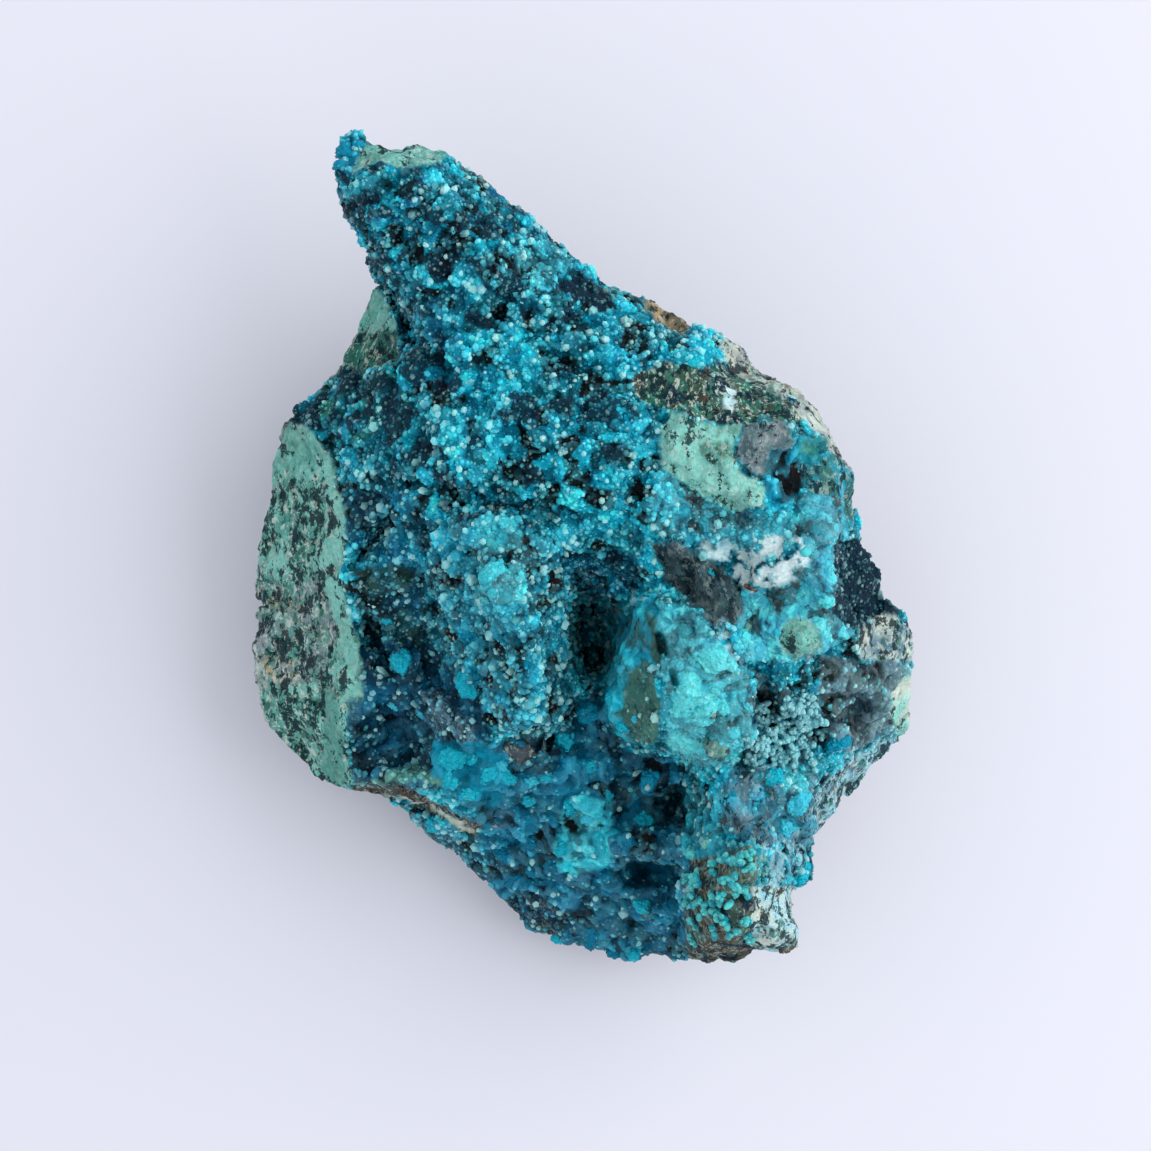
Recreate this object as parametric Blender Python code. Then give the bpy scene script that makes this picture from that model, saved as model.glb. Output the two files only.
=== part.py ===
"""Chrysocolla specimen: a hand-size lump of broken rock with a druse-covered plateau and horn, a
hollow with pits and nodules, and a pillar, on a flat broken foot.

All values are in millimetres and are scaled to metres when the mesh is made. +Z is up, and the
origin is the middle of the foot. Plan places are those seen from SIGHT_HEIGHT straight above, so
a point that is higher or lower than LEVEL stands a little nearer to or farther from SIGHT_AXIS.
"""

import bmesh
import bpy
import numpy as np
from mathutils import Vector, noise

# Driving dimensions, mm.
WIDTH = 67.5
LENGTH = 84.0
HEIGHT = 44.0
SIGHT_HEIGHT = 600.0
SIGHT_AXIS = (-0.55, -2.1)
LEVEL = 26.0

# How fine the solid is.
SPHERE_STEPS = 7
VOXEL = 0.55
MOST_TRIANGLES = 9600
MM = 0.001

ROCK_COLOUR = (0.02, 0.26, 0.31, 1.0)
ROCK_ROUGHNESS = 0.6

# The edge seen from above, anticlockwise from the east: x, y, height of the edge, and how far
# out the foot reaches below it, as a share of the way from the middle.
EDGE = [
    (33.4, -9.6, 24, 0.80), (32.7, -6.8, 26, 0.78), (30.7, -5.1, 28, 0.78), (30.3, -2.4, 29, 0.76),
    (28.4, -0.2, 31, 0.75), (27.2, 2.0, 31, 0.74), (26.7, 5.0, 33, 0.74), (27.2, 7.5, 34, 0.72),
    (25.9, 9.7, 33, 0.72), (23.7, 13.2, 30, 0.74), (20.9, 16.2, 29, 0.74), (18.4, 17.5, 29, 0.76),
    (16.9, 18.3, 27, 0.76), (15.4, 20.7, 26, 0.74), (13.9, 21.5, 27, 0.72), (11.9, 22.5, 31, 0.70),
    (9.9, 22.9, 29, 0.70), (7.4, 24.6, 27, 0.68), (3.7, 25.8, 30, 0.66), (0.2, 28.2, 31, 0.62),
    (-2.1, 30.2, 31, 0.60), (-5.0, 32.9, 31, 0.56), (-7.6, 34.9, 31, 0.54), (-9.7, 36.5, 30, 0.52),
    (-12.3, 38.3, 30, 0.50), (-14.5, 40.2, 29, 0.48), (-16.9, 40.6, 28, 0.48),
    (-19.6, 40.5, 27, 0.47), (-23.2, 41.4, 27, 0.46), (-24.6, 40.8, 27, 0.46),
    (-25.3, 39.0, 28, 0.47), (-25.4, 36.5, 28, 0.48), (-24.3, 33.7, 28, 0.50),
    (-22.4, 30.3, 26, 0.54), (-22.3, 26.7, 19, 0.60), (-21.4, 25.0, 18, 0.64),
    (-23.1, 22.0, 19, 0.66), (-24.4, 18.7, 20, 0.70), (-27.9, 15.0, 20, 0.74),
    (-30.3, 12.7, 20, 0.76), (-31.0, 11.5, 19, 0.78), (-31.8, 6.0, 16, 0.82),
    (-33.1, 0.5, 14, 0.84), (-33.2, -5.6, 13, 0.86), (-33.5, -13.6, 13, 0.86),
    (-32.6, -17.6, 13, 0.86), (-30.6, -20.0, 12, 0.86), (-29.1, -20.8, 12, 0.86),
    (-27.6, -22.9, 13, 0.85), (-25.1, -24.2, 14, 0.84), (-20.9, -24.6, 13, 0.86),
    (-17.3, -26.9, 9, 0.88), (-12.1, -31.3, 7.5, 0.90), (-9.3, -34.4, 7, 0.91),
    (-5.9, -37.8, 6.5, 0.92), (-2.1, -39.6, 6.5, 0.92), (3.4, -41.0, 6.5, 0.91),
    (9.7, -41.4, 9, 0.89), (14.1, -41.2, 17, 0.84), (16.9, -40.3, 20, 0.82), (20.2, -40.6, 21, 0.80),
    (21.6, -40.1, 21, 0.80), (21.1, -37.6, 21, 0.82), (20.3, -34.6, 20, 0.84),
    (22.5, -32.6, 19, 0.84), (22.7, -29.4, 14, 0.86), (26.2, -25.1, 12, 0.88),
    (29.1, -21.9, 12, 0.88), (31.9, -18.8, 14, 0.86), (33.1, -14.6, 18, 0.83),
]

# Spot heights of the upper side: x, y, height.
SPOTS = {
    "horn": [
        (-23.6, 40.0, 30), (-24.6, 35.5, 30.5), (-22.9, 32.3, 31), (-20.1, 38.5, 33),
        (-16.1, 39.0, 32), (-18.1, 33.5, 35), (-14.1, 36.0, 35), (-10.6, 34.0, 34),
        (-13.1, 30.5, 36), (-19.6, 29.3, 33), (-15.6, 25.5, 35), (-8.6, 30.0, 36),
        (-5.6, 31.0, 34), (-3.6, 27.0, 36), (-9.6, 25.0, 36.5), (-18.1, 23.0, 32),
    ],
    "green ledge": [
        (-21.3, 26.5, 26), (-20.3, 23.3, 27), (-22.3, 20.3, 27), (-19.6, 20.3, 30),
        (-23.3, 16.7, 25),
    ],
    "north-west shoulder": [
        (-26.3, 14.3, 24), (-23.6, 12.3, 27), (-20.1, 15.5, 31), (-16.1, 17.5, 34),
    ],
    "plateau": [
        (-13.1, 21.5, 36), (-7.6, 20.5, 37), (-1.6, 23.5, 36), (2.4, 24.3, 34), (6.4, 22.3, 34),
        (1.9, 18.5, 38), (-4.1, 15.5, 39), (-10.1, 13.5, 38), (-15.1, 11.5, 36), (-18.9, 9.3, 33),
        (-13.1, 5.5, 37), (-6.1, 8.5, 40), (-0.1, 10.5, 41), (5.9, 12.5, 40), (8.4, 17.5, 38),
        (11.1, 19.7, 37), (1.9, 5.0, 40), (-4.1, 2.5, 38), (6.4, 5.0, 41), (7.9, 1.5, 40),
        (0.4, -0.6, 35), (4.1, -1.8, 36),
    ],
    "west band": [
        (-24.6, 10.3, 26), (-28.9, 10.3, 21), (-23.9, 3.5, 28), (-28.1, 3.5, 21),
        (-23.6, -2.8, 27), (-28.1, -3.5, 19), (-22.1, -10.8, 25), (-26.3, -10.8, 20),
        (-23.6, -18.6, 21), (-27.3, -18.4, 17),
    ],
    "west hollow": [
        (-20.9, 3.3, 29), (-19.3, -5.1, 27), (-17.6, -8.6, 25), (-18.6, -13.6, 23),
        (-13.6, -16.8, 26), (-6.1, -19.8, 26), (-11.6, -21.8, 24),
    ],
    "mound": [
        (-8.1, 1.0, 34), (-8.1, -3.8, 35), (-6.9, -8.8, 33), (-5.3, -14.8, 29), (-12.6, -4.6, 29),
        (-3.6, -4.6, 32), (-14.1, -0.4, 30), (-11.6, -10.6, 26), (-17.2, 0.4, 30),
    ],
    "pit and dome": [(0.4, -8.6, 24), (0.9, -15.6, 21), (0.3, -20.0, 21)],
    "knob": [
        (6.9, -9.6, 33), (11.9, -9.6, 35), (9.9, -14.6, 34), (15.0, -13.6, 32), (5.9, -18.8, 28),
        (12.4, -18.8, 30), (3.9, -13.8, 28),
    ],
    "grey rib": [(9.4, -1.8, 38), (13.4, -4.6, 37), (16.0, -9.8, 36), (19.4, -13.6, 36)],
    "north-east": [
        (11.9, 8.5, 40), (15.4, 11.0, 41), (18.4, 11.5, 41), (10.9, 12.5, 40), (14.1, 16.0, 37),
        (19.9, 15.3, 35), (23.9, 11.0, 37), (26.1, 7.0, 37), (21.9, 7.3, 38), (17.9, 2.3, 40),
        (12.1, 3.5, 40), (16.1, -1.8, 39), (19.9, -0.8, 41), (24.1, 1.5, 39), (18.1, -6.8, 38),
        (22.1, -8.6, 38), (25.1, -4.6, 37),
    ],
    "east": [
        (28.1, -2.6, 34), (26.4, -5.8, 34), (30.4, -8.6, 27), (27.9, -14.6, 26), (31.4, -14.8, 22),
        (22.1, -16.6, 30), (19.1, -18.8, 30), (25.7, -19.4, 26), (28.9, -19.1, 20),
        (24.9, -23.1, 20), (23.4, -27.6, 17),
    ],
    "pillar": [
        (21.1, -25.8, 23), (17.9, -24.6, 25), (14.7, -25.1, 26), (15.9, -30.6, 29),
        (12.9, -32.8, 26), (19.1, -32.8, 25), (14.9, -36.8, 27), (19.7, -38.1, 24),
        (12.6, -39.2, 22),
    ],
    "south hollow": [
        (5.9, -23.6, 20), (9.0, -24.6, 15), (6.9, -29.6, 19), (1.9, -24.6, 20), (-2.1, -22.8, 22),
        (-4.1, -28.6, 17), (1.1, -29.6, 19), (-2.1, -34.8, 13), (4.1, -34.8, 14), (8.1, -36.8, 13),
        (1.9, -39.1, 9), (7.9, -40.1, 9), (-6.9, -31.8, 12), (-9.9, -27.8, 13),
    ],
    "lip and pocket": [
        (-18.1, -24.3, 18), (-14.1, -25.2, 18), (-20.3, -22.8, 16), (-19.1, -18.6, 17),
        (-15.9, -20.6, 18), (-22.1, -21.1, 17), (-15.1, -27.9, 11), (-11.1, -29.8, 10),
    ],
}

# Blocks that stand above or below what is round them: outline, rise, width of the steep edge.
TERRACES = {
    "knob": (
        [
            (3.1, -11.4), (4.1, -8.6), (5.1, -6.1), (7.9, -4.9), (10.9, -5.8), (13.1, -6.4),
            (14.4, -8.6), (15.9, -11.4), (17.1, -14.6), (17.4, -18.1), (15.4, -20.8),
            (12.4, -21.4), (8.9, -20.8), (5.9, -19.8), (3.7, -18.4), (2.4, -15.8),
        ],
        8.0,
        1.3,
    ),
    "pillar": (
        [
            (10.2, -21.6), (17.9, -21.6), (22.7, -24.1), (23.1, -29.1), (20.4, -33.9),
            (21.6, -39.6), (15.9, -40.6), (10.9, -41.1), (10.2, -37.6), (10.3, -30.6),
            (10.9, -27.6), (9.9, -24.6),
        ],
        8.0,
        1.2,
    ),
    "mound": (
        [
            (-14.1, 2.5), (-10.6, 3.7), (-6.1, 3.5), (-3.6, 1.0), (-2.1, -2.6), (-1.9, -6.6),
            (-1.1, -10.6), (-1.3, -14.6), (-2.6, -17.6), (-5.1, -18.6), (-8.1, -17.6),
            (-10.3, -14.6), (-12.6, -11.6), (-14.1, -8.6), (-15.1, -4.6), (-15.3, -0.6),
        ],
        4.5,
        1.8,
    ),
    "lip": (
        [
            (-25.1, -24.0), (-23.6, -22.0), (-20.1, -22.0), (-13.1, -22.3), (-10.1, -24.5),
            (-8.6, -27.5), (-11.1, -28.3), (-15.1, -25.0), (-18.6, -24.5), (-21.6, -24.8),
        ],
        4.0,
        0.9,
    ),
    "arch": (
        [(1.9, -28.6), (5.9, -28.2), (10.4, -29.0), (10.9, -30.8), (6.9, -31.4), (2.9, -30.6)],
        3.5,
        0.8,
    ),
    "mint face": (
        [
            (9.1, 14.2), (11.9, 13.5), (15.9, 13.0), (20.4, 13.7), (21.4, 11.5), (19.1, 9.0),
            (18.7, 4.2), (15.9, 4.2), (10.9, 6.7), (7.9, 8.4), (8.1, 11.0),
        ],
        1.3,
        0.6,
    ),
    "green ledge": (
        [
            (-24.1, 31.5), (-21.9, 29.2), (-19.6, 26.5), (-18.1, 22.5), (-17.4, 20.0),
            (-19.6, 18.3), (-23.6, 18.3), (-26.6, 18.8), (-26.6, 26.0),
        ],
        -6.0,
        1.0,
    ),
    "black druse": (
        [(25.2, 0.8), (28.4, 1.0), (32.0, -4.5), (30.4, -7.0), (26.9, -7.3), (25.2, -5.5)],
        -3.5,
        1.0,
    ),
}

# Hollows cut into the upper side, and ridges where the depth is below nought: one end, other
# end, half width, depth.
PITS = {
    "deep pit": ((0.3, -5.8), (0.4, -10.8), 2.3, 15.0),
    "horn hollow": ((-8.1, 24.4), (-8.1, 24.0), 1.0, 3.0),
    "horn notch": ((-18.6, 26.4), (-17.1, 21.4), 0.9, 5.0),
    "notch end": ((-17.1, 21.4), (-14.1, 19.4), 0.8, 3.5),
    "west crack": ((-21.1, 7.4), (-13.0, 5.6), 0.8, 1.8),
    "plateau crack": ((-13.0, 5.6), (-6.1, 4.4), 0.9, 2.2),
    "pit rim": ((-2.0, -2.2), (5.0, -3.6), 1.0, 2.5),
    "slot": ((-23.1, -1.5), (-19.9, 2.4), 0.7, 4.0),
    "upper hole": ((-21.6, -7.2), (-21.0, -9.2), 1.1, 5.0),
    "lower hole": ((-20.0, -10.8), (-19.2, -11.4), 1.0, 4.5),
    "nut hole": ((-4.0, -18.4), (-4.0, -18.9), 0.9, 5.0),
    "knob foot": ((17.8, -14.4), (17.6, -16.8), 0.8, 6.0),
    "east hole": ((23.7, -17.6), (24.1, -18.4), 0.9, 5.0),
    "pillar hollow": ((9.6, -22.4), (9.4, -26.4), 1.6, 5.0),
    "arch hollow": ((4.6, -32.0), (8.8, -32.2), 1.3, 5.0),
    "rib groove": ((15.6, -10.4), (18.6, -15.2), 0.6, 2.0),
    "east groove": ((22.4, -11.6), (25.6, -9.6), 0.8, 2.5),
    "knob wall": ((4.6, -5.0), (2.0, -12.0), 1.0, 4.0),
    "pillar wall": ((9.4, -28.0), (9.2, -38.0), 0.9, 2.5),
    "valley": ((-17.6, -8.0), (-15.2, -13.4), 1.3, 3.0),
    "rib head": ((8.6, 0.0), (13.4, -4.8), 1.3, -2.2),
    "rib bend": ((13.6, -4.8), (15.4, -9.3), 1.1, -2.0),
    "rib tail": ((15.8, -9.8), (19.8, -13.4), 1.0, -2.0),
    "north fin": ((22.5, 5.0), (24.3, 0.5), 1.2, -2.0),
    "south fin": ((23.5, -2.5), (25.4, -7.4), 1.2, -2.2),
    "white crest": ((17.4, -2.8), (21.4, -0.2), 1.4, -1.6),
    "mound crest": ((-7.5, -1.6), (-5.1, -16.4), 1.6, -1.8),
    "west ridge": ((-16.1, -15.6), (-11.1, -19.1), 1.2, -2.2),
    "south ledge": ((-10.0, -30.6), (-4.0, -36.0), 1.0, -1.6),
    "horn crest": ((-18.0, 36.4), (-9.0, 29.0), 2.2, -1.2),
}

# Nodules grown on the upper side: x, y, radius, how far the middle is sunk.
NODULES = [
    (-23.4, 40.2, 1.4, 0.5), (-24.0, 38.2, 1.1, 0.4), (-18.1, -10.7, 1.4, 0.1),
    (-11.6, -13.2, 1.7, 0.3), (-6.1, -19.6, 1.8, 0.2), (-1.8, -18.8, 1.5, 0.2),
    (-13.1, -20.6, 2.2, 0.4), (-10.1, -22.1, 2.1, 0.4), (-7.4, -23.3, 1.7, 0.3),
    (0.9, -15.6, 2.2, 0.3), (13.7, -18.9, 1.7, 0.3), (21.9, -8.4, 2.4, 1.2),
    (30.2, -8.6, 2.4, 1.0), (21.1, -25.8, 2.3, 0.8), (6.4, -26.8, 1.4, 0.2),
    (7.0, -22.8, 2.1, 0.3), (5.9, -35.1, 1.4, 0.2), (-14.9, -27.0, 1.2, 0.1),
    (26.9, -12.6, 1.7, 0.5), (28.7, -15.6, 1.6, 0.4), (25.4, -14.8, 1.5, 0.4),
    (29.6, -11.8, 1.5, 0.4), (-0.5, -25.5, 1.5, 0.3), (1.6, -27.0, 1.6, 0.4),
    (0.4, -29.5, 1.5, 0.3), (2.9, -31.0, 1.5, 0.3), (-3.5, -26.5, 1.4, 0.3),
    (21.7, -32.4, 1.4, 0.5), (4.4, -12.0, 1.5, 0.6), (3.2, -14.6, 1.3, 0.4),
    (3.6, -17.0, 1.3, 0.4), (-9.4, -0.6, 1.6, 0.6), (-8.2, -3.6, 2.2, 0.9),
    (11.3, -35.0, 1.3, 0.4), (14.6, -33.4, 1.4, 0.6), (25.7, -19.0, 1.3, 0.4),
]

# Large flat breaks of the sides: the way that each faces, in degrees from east, how many degrees
# it leans down, and how far below the edge it starts.
BREAKS = [
    (6, 14, 3.0), (40, 20, 4.0), (66, 26, 3.0), (94, 32, 8.0), (119, 34, 11.0), (142, 20, 6.0),
    (165, 14, 2.0), (196, 12, 2.0), (226, 18, 2.0), (250, 20, 1.5), (280, 22, 1.5), (305, 12, 4.0),
    (334, 18, 2.5),
]

# Small broken faces of the sides.
BROKEN_PATCHES = 60
BROKEN_TILT = 0.35
BROKEN_STEP = 1.2
WALL_START = 0.62

# Lumps of the crusts.
LUMP_SIZE = 3.0
LUMP_HEIGHT = 1.7
ROUGHNESS = 0.55

EDGE_TABLE = np.array(EDGE, float)
SPOT_TABLE = np.array([spot for group in SPOTS.values() for spot in group], float)
SOFTNESS = 1.4


def edge_at(angle):
    """Distance to the edge from the middle, edge height and foot share, for each angle."""
    start = np.arctan2(EDGE_TABLE[:, 1], EDGE_TABLE[:, 0])
    order = np.argsort(start)
    table = EDGE_TABLE[order]
    start = start[order]
    before = np.searchsorted(start, angle) - 1
    a = table[before]
    b = table[(before + 1) % len(table)]
    ray = np.stack([np.cos(angle), np.sin(angle)], axis=1)
    run = b[:, :2] - a[:, :2]
    across = ray[:, 0] * run[:, 1] - ray[:, 1] * run[:, 0]
    reach = (a[:, 0] * run[:, 1] - a[:, 1] * run[:, 0]) / across
    share = (a[:, 0] * ray[:, 1] - a[:, 1] * ray[:, 0]) / across
    share = np.clip(share, 0.0, 1.0)
    height = a[:, 2] + share * (b[:, 2] - a[:, 2])
    foot = a[:, 3] + share * (b[:, 3] - a[:, 3])
    return reach, height, foot


def spot_weights():
    """Weights of a smooth surface through every spot height and the edge."""
    places = np.vstack([SPOT_TABLE[:, :2], EDGE_TABLE[:, :2]])
    heights = np.concatenate([SPOT_TABLE[:, 2], EDGE_TABLE[:, 2]])
    gaps = np.linalg.norm(places[:, None] - places[None], axis=2)
    mean = heights.mean()
    return places, np.linalg.solve(np.hypot(gaps, SOFTNESS), heights - mean), mean


def to_segment(plan, one_end, other_end):
    """Distance from each plan point to the straight line between two ends."""
    one = np.array(one_end)
    run = np.array(other_end) - one
    share = np.clip((plan - one) @ run / (run @ run), 0.0, 1.0)
    return np.linalg.norm(plan - one - share[:, None] * run, axis=1)


def inside_depth(plan, outline):
    """How far each plan point is inside a closed outline, below nought outside it."""
    corners = np.array(outline)
    nearest = np.full(len(plan), np.inf)
    inside = np.zeros(len(plan), bool)
    for one, other in zip(corners, np.roll(corners, -1, axis=0)):
        nearest = np.minimum(nearest, to_segment(plan, one, other))
        crosses = (one[1] > plan[:, 1]) != (other[1] > plan[:, 1])
        rise = other[1] - one[1] or 1e-9
        inside ^= crosses & (
            plan[:, 0] < one[0] + (plan[:, 1] - one[1]) * (other[0] - one[0]) / rise
        )
    return np.where(inside, nearest, -nearest)


def upper_height(plan, surface):
    places, weights, mean = surface
    gaps = np.linalg.norm(plan[:, None] - places[None], axis=2)
    height = np.hypot(gaps, SOFTNESS) @ weights + mean
    for outline, rise, edge_width in TERRACES.values():
        share = np.clip(inside_depth(plan, outline) / edge_width + 0.5, 0, 1)
        height += rise * share**2 * (3 - 2 * share)
    for one_end, other_end, half_width, depth in PITS.values():
        away = to_segment(plan, one_end, other_end) / half_width
        height -= depth * np.exp(-(away**4))
    return height


def in_sight(points):
    """Moves points from their plan places to where the line of sight meets their height."""
    spread = (SIGHT_HEIGHT - points[:, 2]) / (SIGHT_HEIGHT - LEVEL)
    axis = np.array(SIGHT_AXIS)
    points[:, :2] = axis + (points[:, :2] - axis) * spread[:, None]
    return points


def body_points(ball, surface):
    """Places the points of a unit ball: its upper half is the upper side, its lower half the sides
    and the underside."""
    angle = np.arctan2(ball[:, 1], ball[:, 0])
    reach, edge_height, foot = edge_at(angle)
    out = np.sqrt(np.clip(1 - np.abs(ball[:, 2]), 0, 1))
    upper = ball[:, 2] >= 0
    wall = np.clip((out - WALL_START) / (1 - WALL_START), 0, 1)
    under = np.where(out < WALL_START, out / WALL_START * foot, foot + (1 - foot) * wall**0.8)
    share = np.where(upper, out, under)
    plan = np.stack([np.cos(angle), np.sin(angle)], axis=1) * (reach * share)[:, None]
    below = -3.0
    height = np.where(upper, upper_height(plan, surface), below + (edge_height - below) * wall**0.9)
    near_edge = np.clip((out - 0.97) / 0.03, 0, 1)
    height = np.where(upper, height + (edge_height - height) * near_edge, height)
    return in_sight(np.column_stack([plan, height]))


def break_sides(points):
    """Gives the sides the large breaks and the small stepped faces of broken rock."""
    own_angle = np.arctan2(points[:, 1], points[:, 0])
    own_reach, own_edge, _ = edge_at(own_angle)
    below_edge = np.clip((own_edge - 1.0 - points[:, 2]) / 3.0, 0, 1)
    out = np.linalg.norm(points[:, :2], axis=1) / own_reach
    side = below_edge * np.clip((out - 0.45) / 0.2, 0, 1)
    for facing, lean_down, start in BREAKS:
        turn = np.radians((facing + 180) % 360 - 180)
        lean = np.radians(lean_down)
        reach, edge_height, _ = (value[0] for value in edge_at(np.array([turn])))
        edge_point = (np.cos(turn) * reach, np.sin(turn) * reach, edge_height - start)
        out_and_down = np.array([np.cos(turn), np.sin(turn), -np.tan(lean)]) * np.cos(lean)
        over = np.clip((points - edge_point) @ out_and_down, 0, None) * below_edge
        points = points - out_and_down * over[:, None]
    random = np.random.default_rng(11)
    angle = random.uniform(-np.pi, np.pi, BROKEN_PATCHES)
    level = random.uniform(0.0, 26.0, BROKEN_PATCHES)
    reach, _, foot = edge_at(angle)
    middle = np.column_stack([np.cos(angle) * reach * 0.9, np.sin(angle) * reach * 0.9, level])
    lean = random.normal(0.0, BROKEN_TILT, (BROKEN_PATCHES, 3))
    step = random.uniform(-BROKEN_STEP, BROKEN_STEP, BROKEN_PATCHES)
    out_way = points * (1.0, 1.0, 0.0)
    out_way /= np.linalg.norm(out_way, axis=1)[:, None] + 1e-6
    nearest = np.argmin(((points[:, None] - middle[None]) ** 2).sum(axis=2), axis=1)
    offset = (lean[nearest] * (points - middle[nearest])).sum(axis=1) + step[nearest]
    return points + out_way * (np.clip(offset, -3.0, 1.4) * side)[:, None]


def join_nodules(rock, surface):
    """Adds a closed ball for each nodule, sunk a little into the upper side."""
    for x, y, radius, sunk in NODULES:
        plan = np.array([[x, y]])
        height = upper_height(plan, surface)[0] - sunk
        place = in_sight(np.array([[x, y, height]]))[0]
        made = bmesh.ops.create_icosphere(rock, subdivisions=3, radius=radius)
        bmesh.ops.translate(rock, verts=made["verts"], vec=Vector(place))


def roughen(mesh):
    """Raises rounded lumps on the upper side and small breaks everywhere."""
    count = len(mesh.vertices)
    points = np.empty(count * 3)
    normals = np.empty(count * 3)
    mesh.vertices.foreach_get("co", points)
    mesh.vertices.foreach_get("normal", normals)
    points = points.reshape(-1, 3)
    normals = normals.reshape(-1, 3)
    rise = np.empty(count)
    for i, point in enumerate(points):
        spot = Vector(point)
        near = noise.voronoi(spot / LUMP_SIZE)[0][0]
        up = min(1.0, max(0.0, normals[i, 2] * 3.0 + 0.3))
        lump = LUMP_HEIGHT * (0.42 - near)
        rough = ROUGHNESS * noise.fractal(spot / 4.0, 0.8, 2.0, 3)
        rise[i] = up * lump + (0.35 + 0.65 * up) * rough
    points += normals * rise[:, None]
    mesh.vertices.foreach_set("co", points.ravel())


def evaluated_copy(thing):
    graph = bpy.context.evaluated_depsgraph_get()
    return bpy.data.meshes.new_from_object(thing.evaluated_get(graph))


def with_modifier(mesh, name, kind, **settings):
    """The mesh after one modifier."""
    thing = bpy.data.objects.new(name, mesh)
    bpy.context.scene.collection.objects.link(thing)
    modifier = thing.modifiers.new(name, kind)
    for setting, value in settings.items():
        setattr(modifier, setting, value)
    result = evaluated_copy(thing)
    bpy.data.objects.remove(thing)
    return result


def fit_to_size(mesh):
    """Scales the mesh to the driving dimensions and puts its foot on the ground, centred."""
    points = np.empty(len(mesh.vertices) * 3)
    mesh.vertices.foreach_get("co", points)
    points = points.reshape(-1, 3)
    low = points.min(axis=0)
    high = points.max(axis=0)
    low[2] = 0.0
    size = np.array([WIDTH, LENGTH, HEIGHT])
    points = (points - (low + high) / 2 * (1, 1, 0)) * size / (high - low)
    mesh.vertices.foreach_set("co", points.ravel())


def cut_foot(mesh):
    """Cuts the foot off flat on the ground and scales the mesh to metres."""
    rock = bmesh.new()
    rock.from_mesh(mesh)
    everything = rock.verts[:] + rock.edges[:] + rock.faces[:]
    bmesh.ops.bisect_plane(
        rock, geom=everything, dist=1e-4, plane_co=(0, 0, 0), plane_no=(0, 0, -1), clear_outer=True
    )
    open_edges = [edge for edge in rock.edges if edge.is_boundary]
    bmesh.ops.edgenet_fill(rock, edges=open_edges)
    bmesh.ops.triangulate(rock, faces=rock.faces[:])
    bmesh.ops.recalc_face_normals(rock, faces=rock.faces[:])
    bmesh.ops.scale(rock, vec=(MM, MM, MM), verts=rock.verts[:])
    rock.to_mesh(mesh)
    rock.free()


def make_rock():
    surface = spot_weights()
    rock = bmesh.new()
    bmesh.ops.create_icosphere(rock, subdivisions=SPHERE_STEPS, radius=1.0)
    ball = np.array([vert.co for vert in rock.verts])
    places = break_sides(body_points(ball, surface))
    for vert, place in zip(rock.verts, places):
        vert.co = place
    join_nodules(rock, surface)
    mesh = bpy.data.meshes.new("rock_shape")
    rock.to_mesh(mesh)
    rock.free()
    mesh = with_modifier(mesh, "one_skin", "REMESH", mode="VOXEL", voxel_size=VOXEL)
    roughen(mesh)
    fit_to_size(mesh)
    triangles = sum(len(face.vertices) - 2 for face in mesh.polygons)
    mesh = with_modifier(mesh, "fewer", "DECIMATE", ratio=MOST_TRIANGLES / triangles)
    cut_foot(mesh)
    return mesh


def rock_material():
    material = bpy.data.materials.new("chrysocolla_rock")
    material.use_nodes = True
    shader = material.node_tree.nodes["Principled BSDF"]
    shader.inputs["Base Color"].default_value = ROCK_COLOUR
    shader.inputs["Roughness"].default_value = ROCK_ROUGHNESS
    material.diffuse_color = ROCK_COLOUR
    return material


def main():
    for thing in list(bpy.data.objects):
        bpy.data.objects.remove(thing)
    mesh = make_rock()
    mesh.name = "chrysocolla_rock"
    mesh.materials.clear()
    mesh.materials.append(rock_material())
    mesh.shade_smooth()
    mesh.set_sharp_from_angle(angle=0.7)
    rock = bpy.data.objects.new("chrysocolla_rock", mesh)
    bpy.context.scene.collection.objects.link(rock)


main()
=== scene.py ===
"""Chrysocolla specimen: the fine skin, druse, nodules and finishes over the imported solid.

Sizes are in millimetres in the tables and properties, and in metres on the meshes. Plan places
are those seen from SIGHT_HEIGHT straight above, in the plane of LEVEL.
"""

import bmesh
import bpy
import numpy as np
from bpy.props import FloatProperty, FloatVectorProperty, IntProperty, PointerProperty
from mathutils import Matrix, Vector, bvhtree, noise


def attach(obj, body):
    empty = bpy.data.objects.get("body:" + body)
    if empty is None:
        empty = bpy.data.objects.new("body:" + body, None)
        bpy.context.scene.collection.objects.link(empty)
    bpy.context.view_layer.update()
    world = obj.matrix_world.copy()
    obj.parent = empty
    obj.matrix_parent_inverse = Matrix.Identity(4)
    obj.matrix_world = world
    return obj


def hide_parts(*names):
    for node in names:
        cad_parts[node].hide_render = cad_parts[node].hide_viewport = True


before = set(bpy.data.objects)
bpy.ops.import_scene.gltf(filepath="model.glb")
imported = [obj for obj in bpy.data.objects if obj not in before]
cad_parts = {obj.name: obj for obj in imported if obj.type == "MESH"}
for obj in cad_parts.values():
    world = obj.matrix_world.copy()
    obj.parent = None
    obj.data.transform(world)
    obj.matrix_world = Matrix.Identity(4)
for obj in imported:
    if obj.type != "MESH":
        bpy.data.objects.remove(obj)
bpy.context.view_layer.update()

bl_info = {
    "name": "Chrysocolla specimen",
    "version": (1, 0, 0),
    "blender": (4, 5, 0),
    "location": "3D View > Sidebar > Specimen",
    "description": "Builds the skin, druse, nodules and finishes of a chrysocolla specimen",
    "category": "Add Mesh",
}

MM = 0.001
MOST_PIECE_TRIANGLES = 196000
ROCK = "chrysocolla_rock"
BODY = "root"
SKIN = "rock_skin"

WANDER_SEED = 7
CRYSTAL_SEED = 5
KNOB_SEED = 17
FINGER_SEED = 23

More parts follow.
